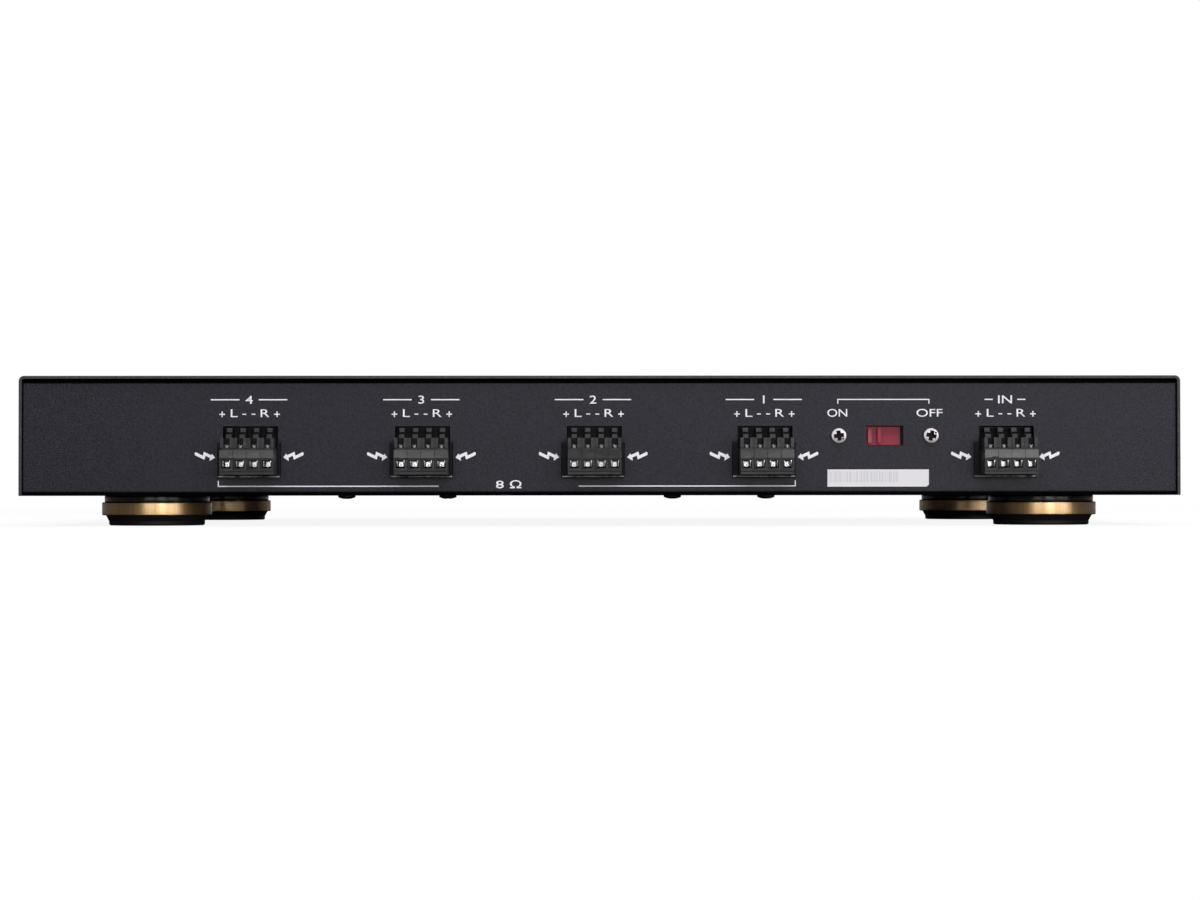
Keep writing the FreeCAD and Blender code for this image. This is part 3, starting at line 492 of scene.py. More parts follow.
def dress_plug(name):
    """Plug with seams between its four modules, a polished band over the wire holes and recesses painted dark as shade.
    """
    node = "terminal_plug_" + name
    piece = link("dressed_" + node, merged(node), MATERIALS["terminal_plastic"])
    soften(piece, 0.14)
    corners, faces = [], []
    for step in (-5.0, 0.0, 5.0):
        x = TERMINALS[name] + PLUG_SHIFT + step
        for low, high, depth in SEAMS:
            box_faces(corners, faces, x - SEAM_HALF, x + SEAM_HALF, PLUG_FACE - 1.0, PLUG_FACE + depth,
                      BOARD_TOP + low, BOARD_TOP + high)
    mesh = bpy.data.meshes.new("seams")
    mesh.from_pydata(corners, [], faces)
    cutter = link("seams", mesh, MATERIALS["dark_plastic_and_painted_shade"])
    seams = piece.modifiers.new("seams", "BOOLEAN")
    seams.operation, seams.solver, seams.object = "DIFFERENCE", "EXACT", cutter
    settle(piece)
    bpy.data.objects.remove(cutter)
    piece.data.set_sharp_from_angle(angle=math.radians(28))
    shade(piece)
    mesh = piece.data
    mesh.materials.clear()
    for kind in ("terminal_plastic", "dark_plastic_and_painted_shade", "plug_band"):
        mesh.materials.append(MATERIALS[kind])
    for face in mesh.polygons:
        _, y, z = face.center / MM
        # Painted shade: front faces deep in the recesses take the dark material.
        face.material_index = plug_finish(y - PLUG_FACE, z - BOARD_TOP) if face.normal.y < -0.5 else 0
    ride(piece, node, slot_of[node], node)


def outline_mesh(shapes):
    """Flat faces from lists of (x, y) corners in mm, counterclockwise."""
    mesh = bpy.data.meshes.new("marks")
    corners, faces = [], []
    for shape in shapes:
        faces.append(range(len(corners), len(corners) + len(shape)))
        corners += [(x * MM, y * MM, 0) for x, y in shape]
    mesh.from_pydata(corners, [], faces)
    return mesh


LATHE_SIDES = 96


def lathe(name, start, direction, outline, material, flutes=(0, 0, 0)):
    """Turned part along direction from start. outline is [(radius, distance along), ...] in mm, outer side first: one
    that starts and ends at radius 0 is solid, and any other is a closed ring. flutes is (from, to, depth) in mm of
    grooves along the axis."""
    mesh = bmesh.new()
    turn = Vector(UP).rotation_difference(Vector(direction)).to_matrix()
    origin = Vector(start) * MM
    rings = []
    for radius, along in outline:
        if radius == 0:
            rings.append([mesh.verts.new(origin + turn @ Vector((0, 0, along * MM)))])
            continue
        ring = []
        for i in range(LATHE_SIDES):
            angle = 2 * math.pi * i / LATHE_SIDES
            reach = radius - (flutes[2] if i % 2 and flutes[0] < along < flutes[1] else 0.0)
            corner = Vector((reach * math.cos(angle), reach * math.sin(angle), along)) * MM
            ring.append(mesh.verts.new(origin + turn @ corner))
        rings.append(ring)
    pairs = list(zip(rings, rings[1:]))
    if outline[0][0]:
        pairs.append((rings[-1], rings[0]))
    for low, high in pairs:
        for i in range(LATHE_SIDES):
            j = (i + 1) % LATHE_SIDES
            face = [low[i % len(low)], low[j % len(low)], high[j % len(high)], high[i % len(high)]]
            face = list(dict.fromkeys(face))
            if len(face) > 2:
                mesh.faces.new(face).smooth = True
    bmesh.ops.recalc_face_normals(mesh, faces=mesh.faces[:])
    made = bpy.data.meshes.new(name)
    mesh.to_mesh(made)
    mesh.free()
    made.set_sharp_from_angle(angle=math.radians(50))
    piece = link(name, made, material)
    shade(piece)
    return piece


# ---- case, terminals, switch and controls from their solids ----
CAGE_SHADE = BOARD_TOP + 6.05       # the cages' front faces above it are painted dark as shade
BRUISE = ((-0.3, 22.0), (0.25, 22.0), (0.35, 22.4), (0.2, 23.05), (-0.35, 23.0), (-0.25, 22.5))


def dress_clamps(name):
    """Bright cages whose insides are painted dark as shade, each with a small bruise in the middle of its jaw."""
    node = "wire_clamps_" + name
    clamps = dress(node, 0.1)
    # Painted shade: the cages' side walls, roofs and high front faces are dark.
    paint_faces(clamps, ("painted_cage_shade", lambda place, normal: abs(normal.x) > 0.5 or normal.z < -0.5
                         or (normal.y < -0.5 and place.z > CAGE_SHADE)))
    middle = TERMINALS[name] + PLUG_SHIFT
    mesh = outline_mesh([[(middle + pole + u, v) for u, v in BRUISE] for pole in POLES])
    mesh.transform(Matrix.Translation((0, (JAW_FACE - 0.01) * MM, 0)) @ UPRIGHT)
    ride(link("clamp_marks_" + name, mesh, MATERIALS["clamp_mark"]), body_of[node], slot_of[node])


def near_switch(place, reach):
    """Whether a place in mm is within reach, (across, up), of the slide switch's middle."""
    return abs(place.x - SLIDE_X) < reach[0] and abs(place.z - SLIDE_Z) < reach[1]


cover = dress("top_cover", 0.2, 3, rubbed="rubbed_paint")
paint_faces(cover, ("cut_edge", lambda place, normal: normal.y < -0.9 and place.y < REAR_FACE))
pan = dress("chassis_pan", 0.2, lines=[(2, BEND_LOW), (2, BEND_HIGH)])
# Painted shade: the walls of the switch's window are dark, and the terminal panel's bends and the flat strips beside
# them almost black.
paint_faces(pan, ("dark_plastic_and_painted_shade", lambda place, normal: abs(normal.y) < 0.97 and near_switch(place, WINDOW)
                  and place.y < REAR_FACE + 1.6),
            ("painted_bend_shade", lambda place, normal: place.y < REAR_FACE + 2.5 and not BEND_LOW < place.z < BEND_HIGH))
dress("front_panel", 0.25, 3, rubbed="rubbed_plate")
switch_frame = dress("protection_switch_frame", 0.1)
# Painted shade: the frame's faces towards the terminals and round its window are dark.
paint_faces(switch_frame, ("dark_plastic_and_painted_shade", lambda place, normal: normal.y < -0.1
                           or near_switch(place, FRAME_WINDOW)))
for name in TERMINALS:
    header = dress("terminal_header_" + name, 0.12, material=MATERIALS["dark_plastic_and_painted_shade"],
                   lines=[(2, RIM_LOW), (2, RIM_HIGH)])
    # Painted highlight: a light line along the header's lower rim.
    paint_faces(header, ("painted_rim_highlight", lambda place, normal: normal.y < -0.9 and RIM_LOW < place.z < RIM_HIGH))
    dress_plug(name)
    dress_clamps(name)
slider = dress("protection_slider", 0.3, 3, lines=[(0, RED_END)])
# Painted shade: the ribs' sides are darker red, and the slider is dark past its red end.
paint_faces(slider, ("painted_rib_shade", lambda place, normal: place.y < GRIP_FOOT - 0.1 and abs(normal.y) < 0.93),
            ("dark_plastic_and_painted_shade", lambda place, normal: place.x > RED_END))
for name in ZONES:
    dress("select_button_" + name, 0.35, 3)


# ---- feet ----
FOOT_HOLE, PAD_TOP, DISC_TOP = 3.0, 3.9, 8.9


def foot_brass(place):
    """Lacquered brass whose rim is streaked along its axis, for the foot at this place."""
    made = Finish("foot_brass", Metallic=1.0, Coat_Weight=1.0, Coat_Roughness=0.24, Coat_IOR=1.9)
    rim = made.group(STREAKS, Centre=(place[0] * MM, place[1] * MM, 0), Scale=22.0)
    made.colours(ramp(made.tree, rim["Tone"], 0.3, 0.7), *spread((0.6, 0.35, 0.115), 0.1))
    made.gloss(rim["Tone"], 0.31, 0.36)
    made.relief(rim["Height"], 0.000002)
    return made.material


def ring_outline(radius, low, high, edge):
    """Closed ring round the foot's hole, with a small round on its outer edges."""
    bulge = edge * 0.3
    return [(FOOT_HOLE, low), (radius - edge, low), (radius - bulge, low + bulge), (radius, low + edge),
            (radius, high - edge), (radius - bulge, high - bulge), (radius - edge, high), (FOOT_HOLE, high)]


PAD_OUTLINE = [(19.5, PAD_TOP), (19.5, 3.75), (19.35, 3.55), (18.45, 1.85), (18.3, 1.6), (18.3, 0.6), (18.2, 0.25),
               (17.7, 0.0), (16.0, 0.0), (15.5, 0.8), (FOOT_HOLE, 0.8), (FOOT_HOLE, PAD_TOP)]
FOOT_RINGS = (("disc", "foot_brass", ring_outline(21.0, PAD_TOP, DISC_TOP, 0.35)),
              ("spacer", "foot_plastic", ring_outline(20.0, DISC_TOP, UNDERSIDE, 0.3)),
              ("pad", "foot_rubber", PAD_OUTLINE))
for number, place in enumerate(FOOT_PLACES, 1):
    for kind, slot, outline in FOOT_RINGS:
        finish = foot_brass(place) if kind == "disc" else MATERIALS[slot]
        ring = lathe(f"foot_{kind}_{number}", (*place, 0.0), UP, outline, finish)
        ride(ring, "case", slot, *([f"foot_{kind}s"] if number == 1 else []))


# ---- knobs ----
# Radius and distance from the knob's back: hole, smooth skirt, fluted grip, bright cut edge and a dished front.
KNOB_OUTLINE = [(0, 0.4), (3.1, 0.4), (3.1, 0.0), (11.4, 0.0), (11.85, 0.3), (12.0, 0.8), (12.0, 2.6), (11.7, 2.9),
                (11.7, 14.0), (12.0, 14.3), (12.0, 14.9), (10.95, 15.95), (10.7, 16.0), (10.2, 15.9), (9.6, 15.55),
                (5.0, 15.35), (0, 15.3)]
CUT_FOOT, CUT_TOP, CUT_RADIUS = KNOB_BACK + 14.95, KNOB_BACK + 15.97, 10.7
POINTER_FACE, POINTER = KNOB_BACK + 15.6, (-0.45, 5.2, 0.45, 9.4)

for name, x in ZONES.items():
    start = (x, KNOB_BACK, KNOB_Z)
    finish = turned("knob_aluminium", (0.05, 0.05, 0.054), 0.25, tuple(c * MM for c in start), FRONT, 5000.0,
                    0.00003, 0.22, 0.34, Metallic=0.6)
    knob = lathe("knob_body_" + name, start, FRONT, KNOB_OUTLINE, finish, flutes=(2.8, 14.1, 0.35))
    paint_faces(knob, ("bright_cut", lambda place, normal: CUT_FOOT < place.y < CUT_TOP and 0.5 < normal.y < 0.95
                       and math.hypot(place.x - x, place.z - KNOB_Z) > CUT_RADIUS))
    ride(knob, "volume_knob_" + name, "knob_aluminium", "volume_knob_" + name)


# ---- fasteners grown by Geometry Nodes ----
def fastener_tree(name):
    """Screws on points that carry a facing: a domed head with a cross or one slot, widened by a square core and marked
    by a dimple where these are given, its shank behind it, and each turned to its own angle."""
    tree, given, wanted = new_group(
        name, "GeometryNodeTree",
        {"Points": ("NodeSocketGeometry", None), "Radius": ("NodeSocketFloat", 0.003),
         "Height": ("NodeSocketFloat", 0.002), "Dome": ("NodeSocketFloat", 0.0006),
         "Slot width": ("NodeSocketFloat", 0.0007), "Slot length": ("NodeSocketFloat", 0.003),
         "Slot depth": ("NodeSocketFloat", 0.0012), "Second slot": ("NodeSocketFloat", 1.0),
         "Core": ("NodeSocketFloat", 0.0), "Dimple radius": ("NodeSocketFloat", 0.0),
         "Dimple reach": ("NodeSocketFloat", 0.0), "Loose": ("NodeSocketFloat", math.pi),
         "Shank radius": ("NodeSocketFloat", 0.0015), "Shank length": ("NodeSocketFloat", 0.005),
         "Seed": ("NodeSocketInt", 1), "Material": ("NodeSocketMaterial", None)},
        {"Geometry": "NodeSocketGeometry"})
    disc = add(tree, "GeometryNodeMeshCylinder",
               {"Vertices": 40, "Side Segments": 1, "Fill Segments": 5, "Radius": given["Radius"],
                "Depth": given["Height"]})
    half = product(tree, given["Height"], 0.5)
    place = add(tree, "GeometryNodeInputPosition")
    flat = vector_of(tree, "MULTIPLY", place, (1.0, 1.0, 0.0))
    reach = math_of(tree, "DIVIDE", vector_of(tree, "LENGTH", flat, out=1), given["Radius"])
    fall = product(tree, math_of(tree, "POWER", reach, 2.4), given["Dome"])
    height = add(tree, "ShaderNodeSeparateXYZ", {0: place}, out=2)
    upper = math_of(tree, "GREATER_THAN", height, 0.0)
    drop = product(tree, product(tree, fall, upper), -1.0)
    drop = add(tree, "ShaderNodeCombineXYZ", {2: drop})
    disc = add(tree, "GeometryNodeSetPosition", {"Geometry": disc, "Offset": drop})
    sizes = add(tree, "ShaderNodeCombineXYZ",
                {0: given["Slot length"], 1: given["Slot width"], 2: given["Slot depth"]})
    bar = add(tree, "GeometryNodeMeshCube", {"Size": sizes})
    lift = add(tree, "ShaderNodeCombineXYZ", {2: half})
    first = add(tree, "GeometryNodeTransform", {"Geometry": bar, "Translation": lift})
    crossing = add(tree, "ShaderNodeCombineXYZ", {0: 1.0, 1: given["Second slot"], 2: 1.0})
    second = add(tree, "GeometryNodeTransform",
                 {"Geometry": bar, "Translation": lift, "Rotation": (0.0, 0.0, math.pi / 2), "Scale": crossing})
    core = add(tree, "ShaderNodeCombineXYZ", {0: given["Core"], 1: given["Core"], 2: given["Slot depth"]})
    core = add(tree, "GeometryNodeMeshCube", {"Size": core})
    core = add(tree, "GeometryNodeTransform",
               {"Geometry": core, "Translation": lift, "Rotation": (0.0, 0.0, math.pi / 4)})
    dimple = add(tree, "GeometryNodeMeshIcoSphere", {"Radius": given["Dimple radius"], "Subdivisions": 2})
    aside = add(tree, "ShaderNodeCombineXYZ", {0: given["Dimple reach"], 1: given["Dimple reach"], 2: half})
    dimple = add(tree, "GeometryNodeTransform", {"Geometry": dimple, "Translation": aside})
    cut_head = disc
    for cutter, size in ((first, "Slot width"), (second, "Second slot"), (core, "Core"), (dimple, "Dimple radius")):
        boolean = tree.nodes.new("GeometryNodeMeshBoolean")
        boolean.operation, boolean.solver = "DIFFERENCE", "EXACT"
        tree.links.new(cut_head, boolean.inputs["Mesh 1"])
        tree.links.new(cutter, boolean.inputs["Mesh 2"])
        has_cut = add(tree, "FunctionNodeCompare", {"A": given[size], "B": 0.0}, data_type="FLOAT",
                      operation="GREATER_THAN")
        cut_head = add(tree, "GeometryNodeSwitch",
                       {"Switch": has_cut, "False": cut_head, "True": boolean.outputs[0]}, input_type="GEOMETRY")
    head = add(tree, "GeometryNodeTransform", {"Geometry": cut_head, "Translation": lift})
    shank = add(tree, "GeometryNodeMeshCylinder",
                {"Vertices": 24, "Radius": given["Shank radius"], "Depth": given["Shank length"]})
    down = add(tree, "ShaderNodeCombineXYZ", {2: product(tree, given["Shank length"], -0.5)})
    shank = add(tree, "GeometryNodeTransform", {"Geometry": shank, "Translation": down})
    joined = tree.nodes.new("GeometryNodeJoinGeometry")
    for part in (head, shank):
        tree.links.new(part, joined.inputs[0])
    head = joined.outputs[0]
    facing = add(tree, "GeometryNodeInputNamedAttribute", {"Name": "facing"}, data_type="FLOAT_VECTOR")
    facing = add(tree, "FunctionNodeAlignEulerToVector", {"Vector": facing}, axis="Z")
    index = add(tree, "GeometryNodeInputIndex")
    spin = add(tree, "FunctionNodeRandomValue", {2: 0.0, 3: given["Loose"], "ID": index, "Seed": given["Seed"]}, out=1,
               data_type="FLOAT")
    own = add(tree, "GeometryNodeInputNamedAttribute", {"Name": "turn"}, data_type="FLOAT")
    spin = add(tree, "ShaderNodeCombineXYZ", {2: math_of(tree, "ADD", own, spin)})
    turn = add(tree, "FunctionNodeRotateEuler", {0: facing, 1: spin}, rotation_type="EULER", space="LOCAL")
    placed = add(tree, "GeometryNodeInstanceOnPoints", {"Points": given["Points"], "Instance": head, "Rotation": turn})
    real = add(tree, "GeometryNodeRealizeInstances", {"Geometry": placed})
    real = add(tree, "GeometryNodeSetMaterial", {"Geometry": real, "Material": given["Material"]})
    tree.links.new(real, wanted["Geometry"])
    return tree


FASTENERS = fastener_tree("screw_heads")


def grow(name, points, slot, body, nodes=(), finish=None, recess=None, crossed=True, loose=math.pi, seed=1, **sizes):
    """Screws as one plain mesh: points holds (place in mm, facing, turn in degrees) for each one, recess is the
    material painted inside the heads as shade, loose the most that chance adds to the turn, and sizes the tree's
    lengths in mm."""
    mesh = bpy.data.meshes.new(name)
    mesh.from_pydata([tuple(c * MM for c in place) for place, _, _ in points], [], [])
    facing = mesh.attributes.new("facing", "FLOAT_VECTOR", "POINT")
    facing.data.foreach_set("vector", [c for _, direction, _ in points for c in direction])
    turn = mesh.attributes.new("turn", "FLOAT", "POINT")
    turn.data.foreach_set("value", [math.radians(degrees) for _, _, degrees in points])
    piece = link(name, mesh, MATERIALS[slot])
    modifier = piece.modifiers.new("grow", "NODES")
    modifier.node_group = FASTENERS
    inputs = {label.replace("_", " "): length * MM for label, length in sizes.items()}
    inputs |= {"Second slot": float(crossed), "Loose": loose, "Seed": seed, "Material": MATERIALS[finish or slot]}
    for item in FASTENERS.interface.items_tree:
        if item.in_out == "INPUT" and item.name in inputs:
            modifier[item.identifier] = inputs[item.name]
    settle(piece)
    made = piece.data
    made.polygons.foreach_set("use_smooth", [True] * len(made.polygons))
    made.set_sharp_from_angle(angle=math.radians(30.0))
    if recess:
        skin = 0.02 * MM
        deep, wide = inputs["Height"] - inputs["Dome"] * 0.83 - skin, inputs["Radius"] * 0.93
        made.materials.append(MATERIALS[recess])
        starts = [(Vector(place) * MM, Vector(direction)) for place, direction, _ in points]
        for face in made.polygons:
            for start, direction in starts:
                arm = face.center - start
                height = arm.dot(direction)
                if skin < height < deep and (arm - direction * height).length < wide:
                    face.material_index = len(made.materials) - 1
    ride(piece, body, slot, *nodes)


# Painted shade: the crosses of the switch screws are dark inside.
grow("switch_screws", [((88.7, REAR_FACE, SLIDE_Z), REAR, -82.0), ((123.1, REAR_FACE, SLIDE_Z), REAR, -13.0)],
     "nickel_screw", "case", ["protection_switch_screws"], recess="dark_plastic_and_painted_shade", loose=0.0, Radius=2.7, Height=1.7,
     Dome=0.3, Slot_width=1.55, Slot_length=3.8, Slot_depth=3.0, Core=2.4, Dimple_radius=0.46, Dimple_reach=1.36,
     Shank_radius=1.48, Shank_length=5.0)
grow("base_screws_dressed", [((x, -92.15, UNDERSIDE), DOWN, 0.0) for x in (-98.7, -59.2, 28.6, 65.2)],
     "black_screw", "case", ["base_screws"], seed=2, Radius=3.4, Height=1.4, Dome=0.7, Slot_width=0.8,
     Slot_length=3.8, Slot_depth=1.4, Core=1.2, Shank_radius=1.48, Shank_length=4.0)
grow("cover_screws_dressed",
     [((side[0] * 216.0, y, 18.4), side, 0.0) for side in (LEFT, RIGHT) for y in (-87.15, 77.85)],
     "black_screw", "case", ["cover_screws"], seed=8, Radius=2.8, Height=1.9, Dome=0.8, Slot_width=0.8,
     Slot_length=3.3, Slot_depth=2.4, Core=1.2, Shank_radius=1.48, Shank_length=5.0)
for number, (name, x) in enumerate(TERMINALS.items(), 11):
    places = [(x + PLUG_SHIFT + pole, TOWER_FACE + 1.7, BOARD_TOP + 11.3) for pole in POLES]
    grow("clamp_screws_" + name, [(place, UP, 90.0) for place in places], "clamp_nickel", "terminal_plug_" + name,
         finish="dull_screw", crossed=False, loose=0.3, seed=number, Radius=1.05, Height=0.9, Dome=0.1,
         Slot_width=0.4, Slot_length=2.4, Slot_depth=0.9, Shank_radius=0.8, Shank_length=3.3)


# ---- print ----
NUMBER_LINE, LETTER_LINE = 47.1, 42.1   # heights of the two lines of print on the terminal panel
DIAL_RADIUS, NUMBER_RADIUS = 13.6, 17.8 # round a knob
BOLT = [(0, 0), (2.07, -1.24), (1.94, -0.12), (3.56, 0.7), (3.93, -0.8), (7.47, 0.87), (7.62, 1.62), (7.22, 2.04),
        (4.55, 0.7), (4.18, 2.17), (1.39, 0.87), (1.14, 1.44)]
REAR_PRINT = Matrix.Translation((0, (REAR_FACE - INK) * MM, 0)) @ UPRIGHT
FRONT_PRINT = Matrix.Translation((0, (PANEL_FACE + INK) * MM, 0)) @ UPRIGHT_AT_KNOBS


def sized(mesh, height, width):
    """Scales a flat mesh in XY to the height and width in mm, with its middle at the origin. A width of None gives
    extended letters."""
    xs = [v.co.x for v in mesh.vertices]
    ys = [v.co.y for v in mesh.vertices]
    middle = Vector(((max(xs) + min(xs)) / 2, (max(ys) + min(ys)) / 2, 0))
    up = height * MM / (max(ys) - min(ys))
    across = width * MM / (max(xs) - min(xs)) if width else up * 1.35
    mesh.transform(Matrix.Diagonal((across, up, 1, 1)) @ Matrix.Translation(-middle))
    return mesh


def lettering(text, weight):
    """A word's flat mesh, its strokes widened by weight."""
    curve = bpy.data.curves.new("lettering", "FONT")
    curve.body, curve.offset, curve.fill_mode = text, weight, "FRONT"
    holder = bpy.data.objects.new("lettering", curve)
    bpy.context.scene.collection.objects.link(holder)
    mesh = evaluated(holder)
    bpy.data.objects.remove(holder)
    return mesh


def stroke(x0, y0, x1, y1):
    return [(x0, y0), (x1, y0), (x1, y1), (x0, y1)]


def plus(x, y):
    reach, half = 1.05, 0.21
    return [stroke(x - reach, y - half, x + reach, y + half), stroke(x - half, y + half, x + half, y + reach),
            stroke(x - half, y - reach, x + half, y - half)]


class Print:
    """Flat marks gathered in the plane of one panel, in mm, then placed on it as one piece."""

    def __init__(self, name, place, slot):
        self.name, self.place, self.slot = name, place, slot
        self.mesh = bmesh.new()

    def mark(self, mesh, x, y):
        mesh.transform(Matrix.Translation((x * MM, y * MM, 0)))
        self.mesh.from_mesh(mesh)

    def text(self, text, x, y, height, width=None, weight=0.0):
        self.mark(sized(lettering(text, weight), height, width), x, y)

    def shapes(self, shapes, x=0.0, y=0.0):
        self.mark(outline_mesh(shapes), x, y)

    def finish(self):
        mesh = bpy.data.meshes.new(self.name)
        self.mesh.to_mesh(mesh)
        self.mesh.free()
        mesh.transform(self.place)
        ride(link(self.name, mesh, MATERIALS["print_white"]), "case", self.slot)


def rear_print():
    """Number, poles and arrows of each terminal, the brackets under the outputs and the switch's ends."""
    made = Print("rear_print", REAR_PRINT, "case_steel")
    for name, x in TERMINALS.items():
        made.text("IN" if name == "input" else name, x, NUMBER_LINE, 3.0, weight=0.004)
        near, far = (4.6, 7.6) if name == "input" else (3.6, 14.2)
        made.shapes([stroke(-far, -0.22, -near, 0.22), stroke(near, -0.22, far, 0.22)], x, NUMBER_LINE)
        middle = x + 0.2
        made.text("L", middle - 5.72, LETTER_LINE, 2.9, 2.6)
        made.text("R", middle + 5.72, LETTER_LINE, 2.9, 3.25)
        minus = [stroke(middle + low, 41.5, middle + high, 41.9) for low, high in ((-2.7, -1.25), (0.7, 2.15))]
        made.shapes(plus(middle - 10.2, 41.7) + plus(middle + 10.2, 41.7) + minus)
        made.shapes([BOLT], x + 12.7, 25.6)
        made.shapes([[(-u, v) for u, v in reversed(BOLT)]], x - 12.6, 25.6)
    made.text("ON", SLIDE_X - 17.7, LETTER_LINE, 2.9, 7.4, 0.002)
    made.text("OFF", SLIDE_X + 16.7, LETTER_LINE, 2.9, 9.7, 0.002)
    made.shapes([stroke(-17.7, 46.9, 16.7, 47.3), stroke(-17.7, 45.5, -17.3, 46.9), stroke(16.3, 45.5, 16.7, 46.9)],
                SLIDE_X)
    made.shapes([stroke(-142.3, 14.7, -60.2, 15.1), stroke(-142.3, 15.1, -141.9, 17.0),
                 stroke(-8.1, 14.7, 72.7, 15.1), stroke(72.3, 15.1, 72.7, 17.0)])
    made.text("8 Ω", -34.2, 15.6, 3.0, 9.5, 0.008)
    made.finish()


def front_print():
    """Dial, zone number, and ON and OFF of each button on the knob side."""
    made = Print("front_print", FRONT_PRINT, "front_aluminium")
    for name, x in ZONES.items():
        centre = -x
        for step in range(11):
            angle = math.radians(240 - 30 * step)
            u, v = math.cos(angle), math.sin(angle)
            a, b, half = DIAL_RADIUS, DIAL_RADIUS + (1.6 if step % 5 == 0 else 1.0), 0.2
            made.shapes([[(a * u + half * v, a * v - half * u), (b * u + half * v, b * v - half * u),
                          (b * u - half * v, b * v + half * u), (a * u - half * v, a * v + half * u)]], centre, KNOB_Z)
            if step % 2 == 0:
                made.text(str(step), centre + NUMBER_RADIUS * u, KNOB_Z + NUMBER_RADIUS * v, 2.0)
        button, line = centre - 30.0, KNOB_Z - 9.8
        made.text(name, button, KNOB_Z + 11.5, 3.2, weight=0.01)
        made.text("ON", button - 4.6, line, 1.9)
        made.text("OFF", button + 4.9, line, 1.9)
        made.shapes([stroke(-0.15, -1.0, 0.15, 1.0)], button - 0.6, line)
    made.finish()


def knob_pointers():
    for name, x in ZONES.items():
        mesh = outline_mesh([stroke(*POINTER)])
        mesh.transform(Matrix.Translation(Vector((x, POINTER_FACE, KNOB_Z)) * MM) @ UPRIGHT_AT_KNOBS)
        ride(link("knob_pointer_" + name, mesh, MATERIALS["print_white"]), "volume_knob_" + name, "knob_aluminium")


rear_print()
front_print()
knob_pointers()


# ---- bare label ----
LABEL_OUTLINE = [(84.5, 14.6), (121.5, 14.6), (122.3, 15.4), (122.3, 21.0), (84.5, 21.0)]
# Places, in metres, between which its bars fade in from below, from above and from the right.
BARS_LOW, BARS_HIGH, BARS_RIGHT = (0.0161, 0.0163), (0.0204, 0.0202), (0.1115, 0.1105)


def label():
    """Blank pale sticker with one cut corner and faint bars."""
    finish = Finish("label_paper", Roughness=0.42)
    tree = finish.tree
    across, _, up = (add(tree, "ShaderNodeSeparateXYZ", {0: object_place(tree)}, out=i) for i in range(3))
    line = add(tree, "ShaderNodeCombineXYZ", {0: across})
    bars = ramp(tree, add(tree, "ShaderNodeTexNoise", {"Vector": line, "Scale": 1900.0, "Detail": 1.0}), 0.47, 0.53)
    inside = product(tree, ramp(tree, up, *BARS_LOW), ramp(tree, up, *BARS_HIGH))
    inside = product(tree, inside, ramp(tree, across, *BARS_RIGHT))
    mask = product(tree, product(tree, bars, inside), 0.45)
    finish.colours(mask, (0.74, 0.72, 0.75), (0.4, 0.4, 0.43))
    grain = finish.group(GRAIN, Scale=900.0)
    finish.relief(grain["Height"], 0.00003)
    mesh = outline_mesh([LABEL_OUTLINE])
    mesh.transform(REAR_PRINT @ Matrix.Translation((0, 0, 0.05 * MM)))
    piece = link("bare_label", mesh, finish.material)
    solid = piece.modifiers.new("thickness", "SOLIDIFY")
    solid.thickness, solid.offset = 0.09 * MM, -1.0
    settle(piece)
    ride(piece, "case", "case_steel")


label()


# ---- materials of the solids that stay ----
for node, piece in frame["nodes"].items():
    if not piece.hide_render:
        piece.data.materials.clear()
        piece.data.materials.append(MATERIALS[slot_of[node]])


# ---- stage ----
def light_path(tree):
    """Masks of the rays straight from the camera, and of those that a glossy or clear surface passed on."""
    path = tree.nodes.new("ShaderNodeLightPath").outputs
    return path["Is Camera Ray"], math_of(tree, "MAXIMUM", path["Is Glossy Ray"], path["Is Transmission Ray"])


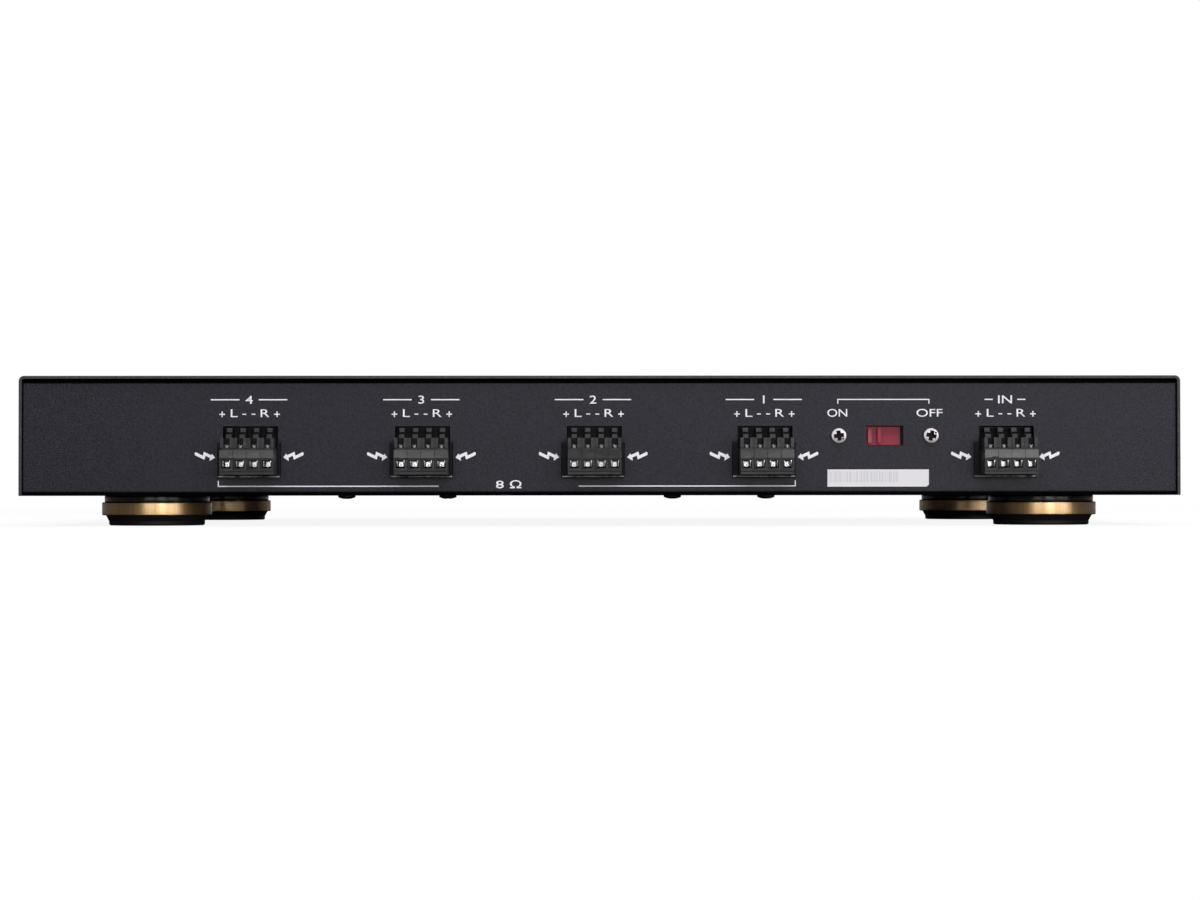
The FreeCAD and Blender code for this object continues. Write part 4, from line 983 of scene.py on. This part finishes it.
def make_floor():
    """Pale table: near the part it glows less than white to the camera, so that the shadow shows, and not at all in
    reflections; further off it is white to both."""
    reach = 3.0
    mesh = bpy.data.meshes.new("floor")
    mesh.from_pydata([(-reach, -reach, 0), (reach, -reach, 0), (reach, reach, 0), (-reach, reach, 0)], [],
                     [(0, 1, 2, 3)])
    material = bpy.data.materials.new("floor")
    material.use_nodes = True
    tree = material.node_tree
    shader = tree.nodes["Principled BSDF"]
    shader.inputs["Roughness"].default_value = 0.9
    shader.inputs["Specular IOR Level"].default_value = 0.1
    far = ramp(tree, vector_of(tree, "LENGTH", object_place(tree), out=1), 0.7, 1.6)
    direct, passed_on = light_path(tree)
    pale = add(tree, "ShaderNodeMix", {0: direct, 6: (0.08, 0.08, 0.08, 1.0), 7: (0.8, 0.8, 0.8, 1.0)}, out=2,
               data_type="RGBA")
    tree.links.new(pale, shader.inputs["Base Color"])
    seen = product(tree, direct, math_of(tree, "MULTIPLY_ADD", far, 0.1, 0.9))
    share = math_of(tree, "MAXIMUM", seen, product(tree, passed_on, far))
    glow = add(tree, "ShaderNodeEmission", {"Color": (1, 1, 1, 1), "Strength": 1.0})
    mixed = add(tree, "ShaderNodeMixShader", {0: share, 1: shader.outputs[0], 2: glow})
    tree.links.new(mixed, tree.nodes["Material Output"].inputs["Surface"])
    link("floor", mesh, material)


def make_world():
    """White to the camera; reflections see the white backdrop behind the part and a dim room elsewhere."""
    world = bpy.data.worlds.new("studio")
    bpy.context.scene.world = world
    world.use_nodes = True
    tree = world.node_tree
    background = tree.nodes["Background"]
    toward = add(tree, "ShaderNodeTexCoord")
    depth = add(tree, "ShaderNodeSeparateXYZ", {0: toward}, out=1)
    room = ramp(tree, depth, 0.985, 1.0, 0.1, 1.0)
    direct, passed_on = light_path(tree)
    level = add(tree, "ShaderNodeMix", {0: passed_on, 2: 0.22, 3: room})
    level = math_of(tree, "MAXIMUM", level, direct)
    tree.links.new(level, background.inputs["Strength"])
    background.inputs["Color"].default_value = (1, 1, 1, 1)


def softbox(name, place, aim, width, height, radiance):
    """Area lamp whose face has the given radiance."""
    data = bpy.data.lights.new(name, "AREA")
    data.shape, data.size, data.size_y = "RECTANGLE", width, height
    data.energy = radiance * math.pi * width * height
    lamp = bpy.data.objects.new(name, data)
    lamp.location = place
    lamp.rotation_euler = (Vector(aim) - Vector(place)).to_track_quat("-Z", "Y").to_euler()
    lamp.visible_camera = False
    bpy.context.scene.collection.objects.link(lamp)


make_floor()
make_world()
softbox("key_softbox", (0.15, -0.85, 1.65), (0.0, 0.0, 0.0), 2.2, 1.3, 5.0)
softbox("front_card_left", (-0.485, -2.4, 0.28), (-0.485, 0.0, 0.28), 0.84, 0.54, 4.0)
softbox("front_card_right", (0.64, -2.4, 0.28), (0.64, 0.0, 0.28), 0.84, 0.54, 7.4)
softbox("side_card_right", (1.9, -2.2, 0.28), (0.2, 0.0, 0.1), 1.2, 0.54, 5.0)
softbox("rear_softbox", (0.5, 2.2, 0.9), (0.0, 0.1, 0.03), 2.2, 1.2, 3.2)
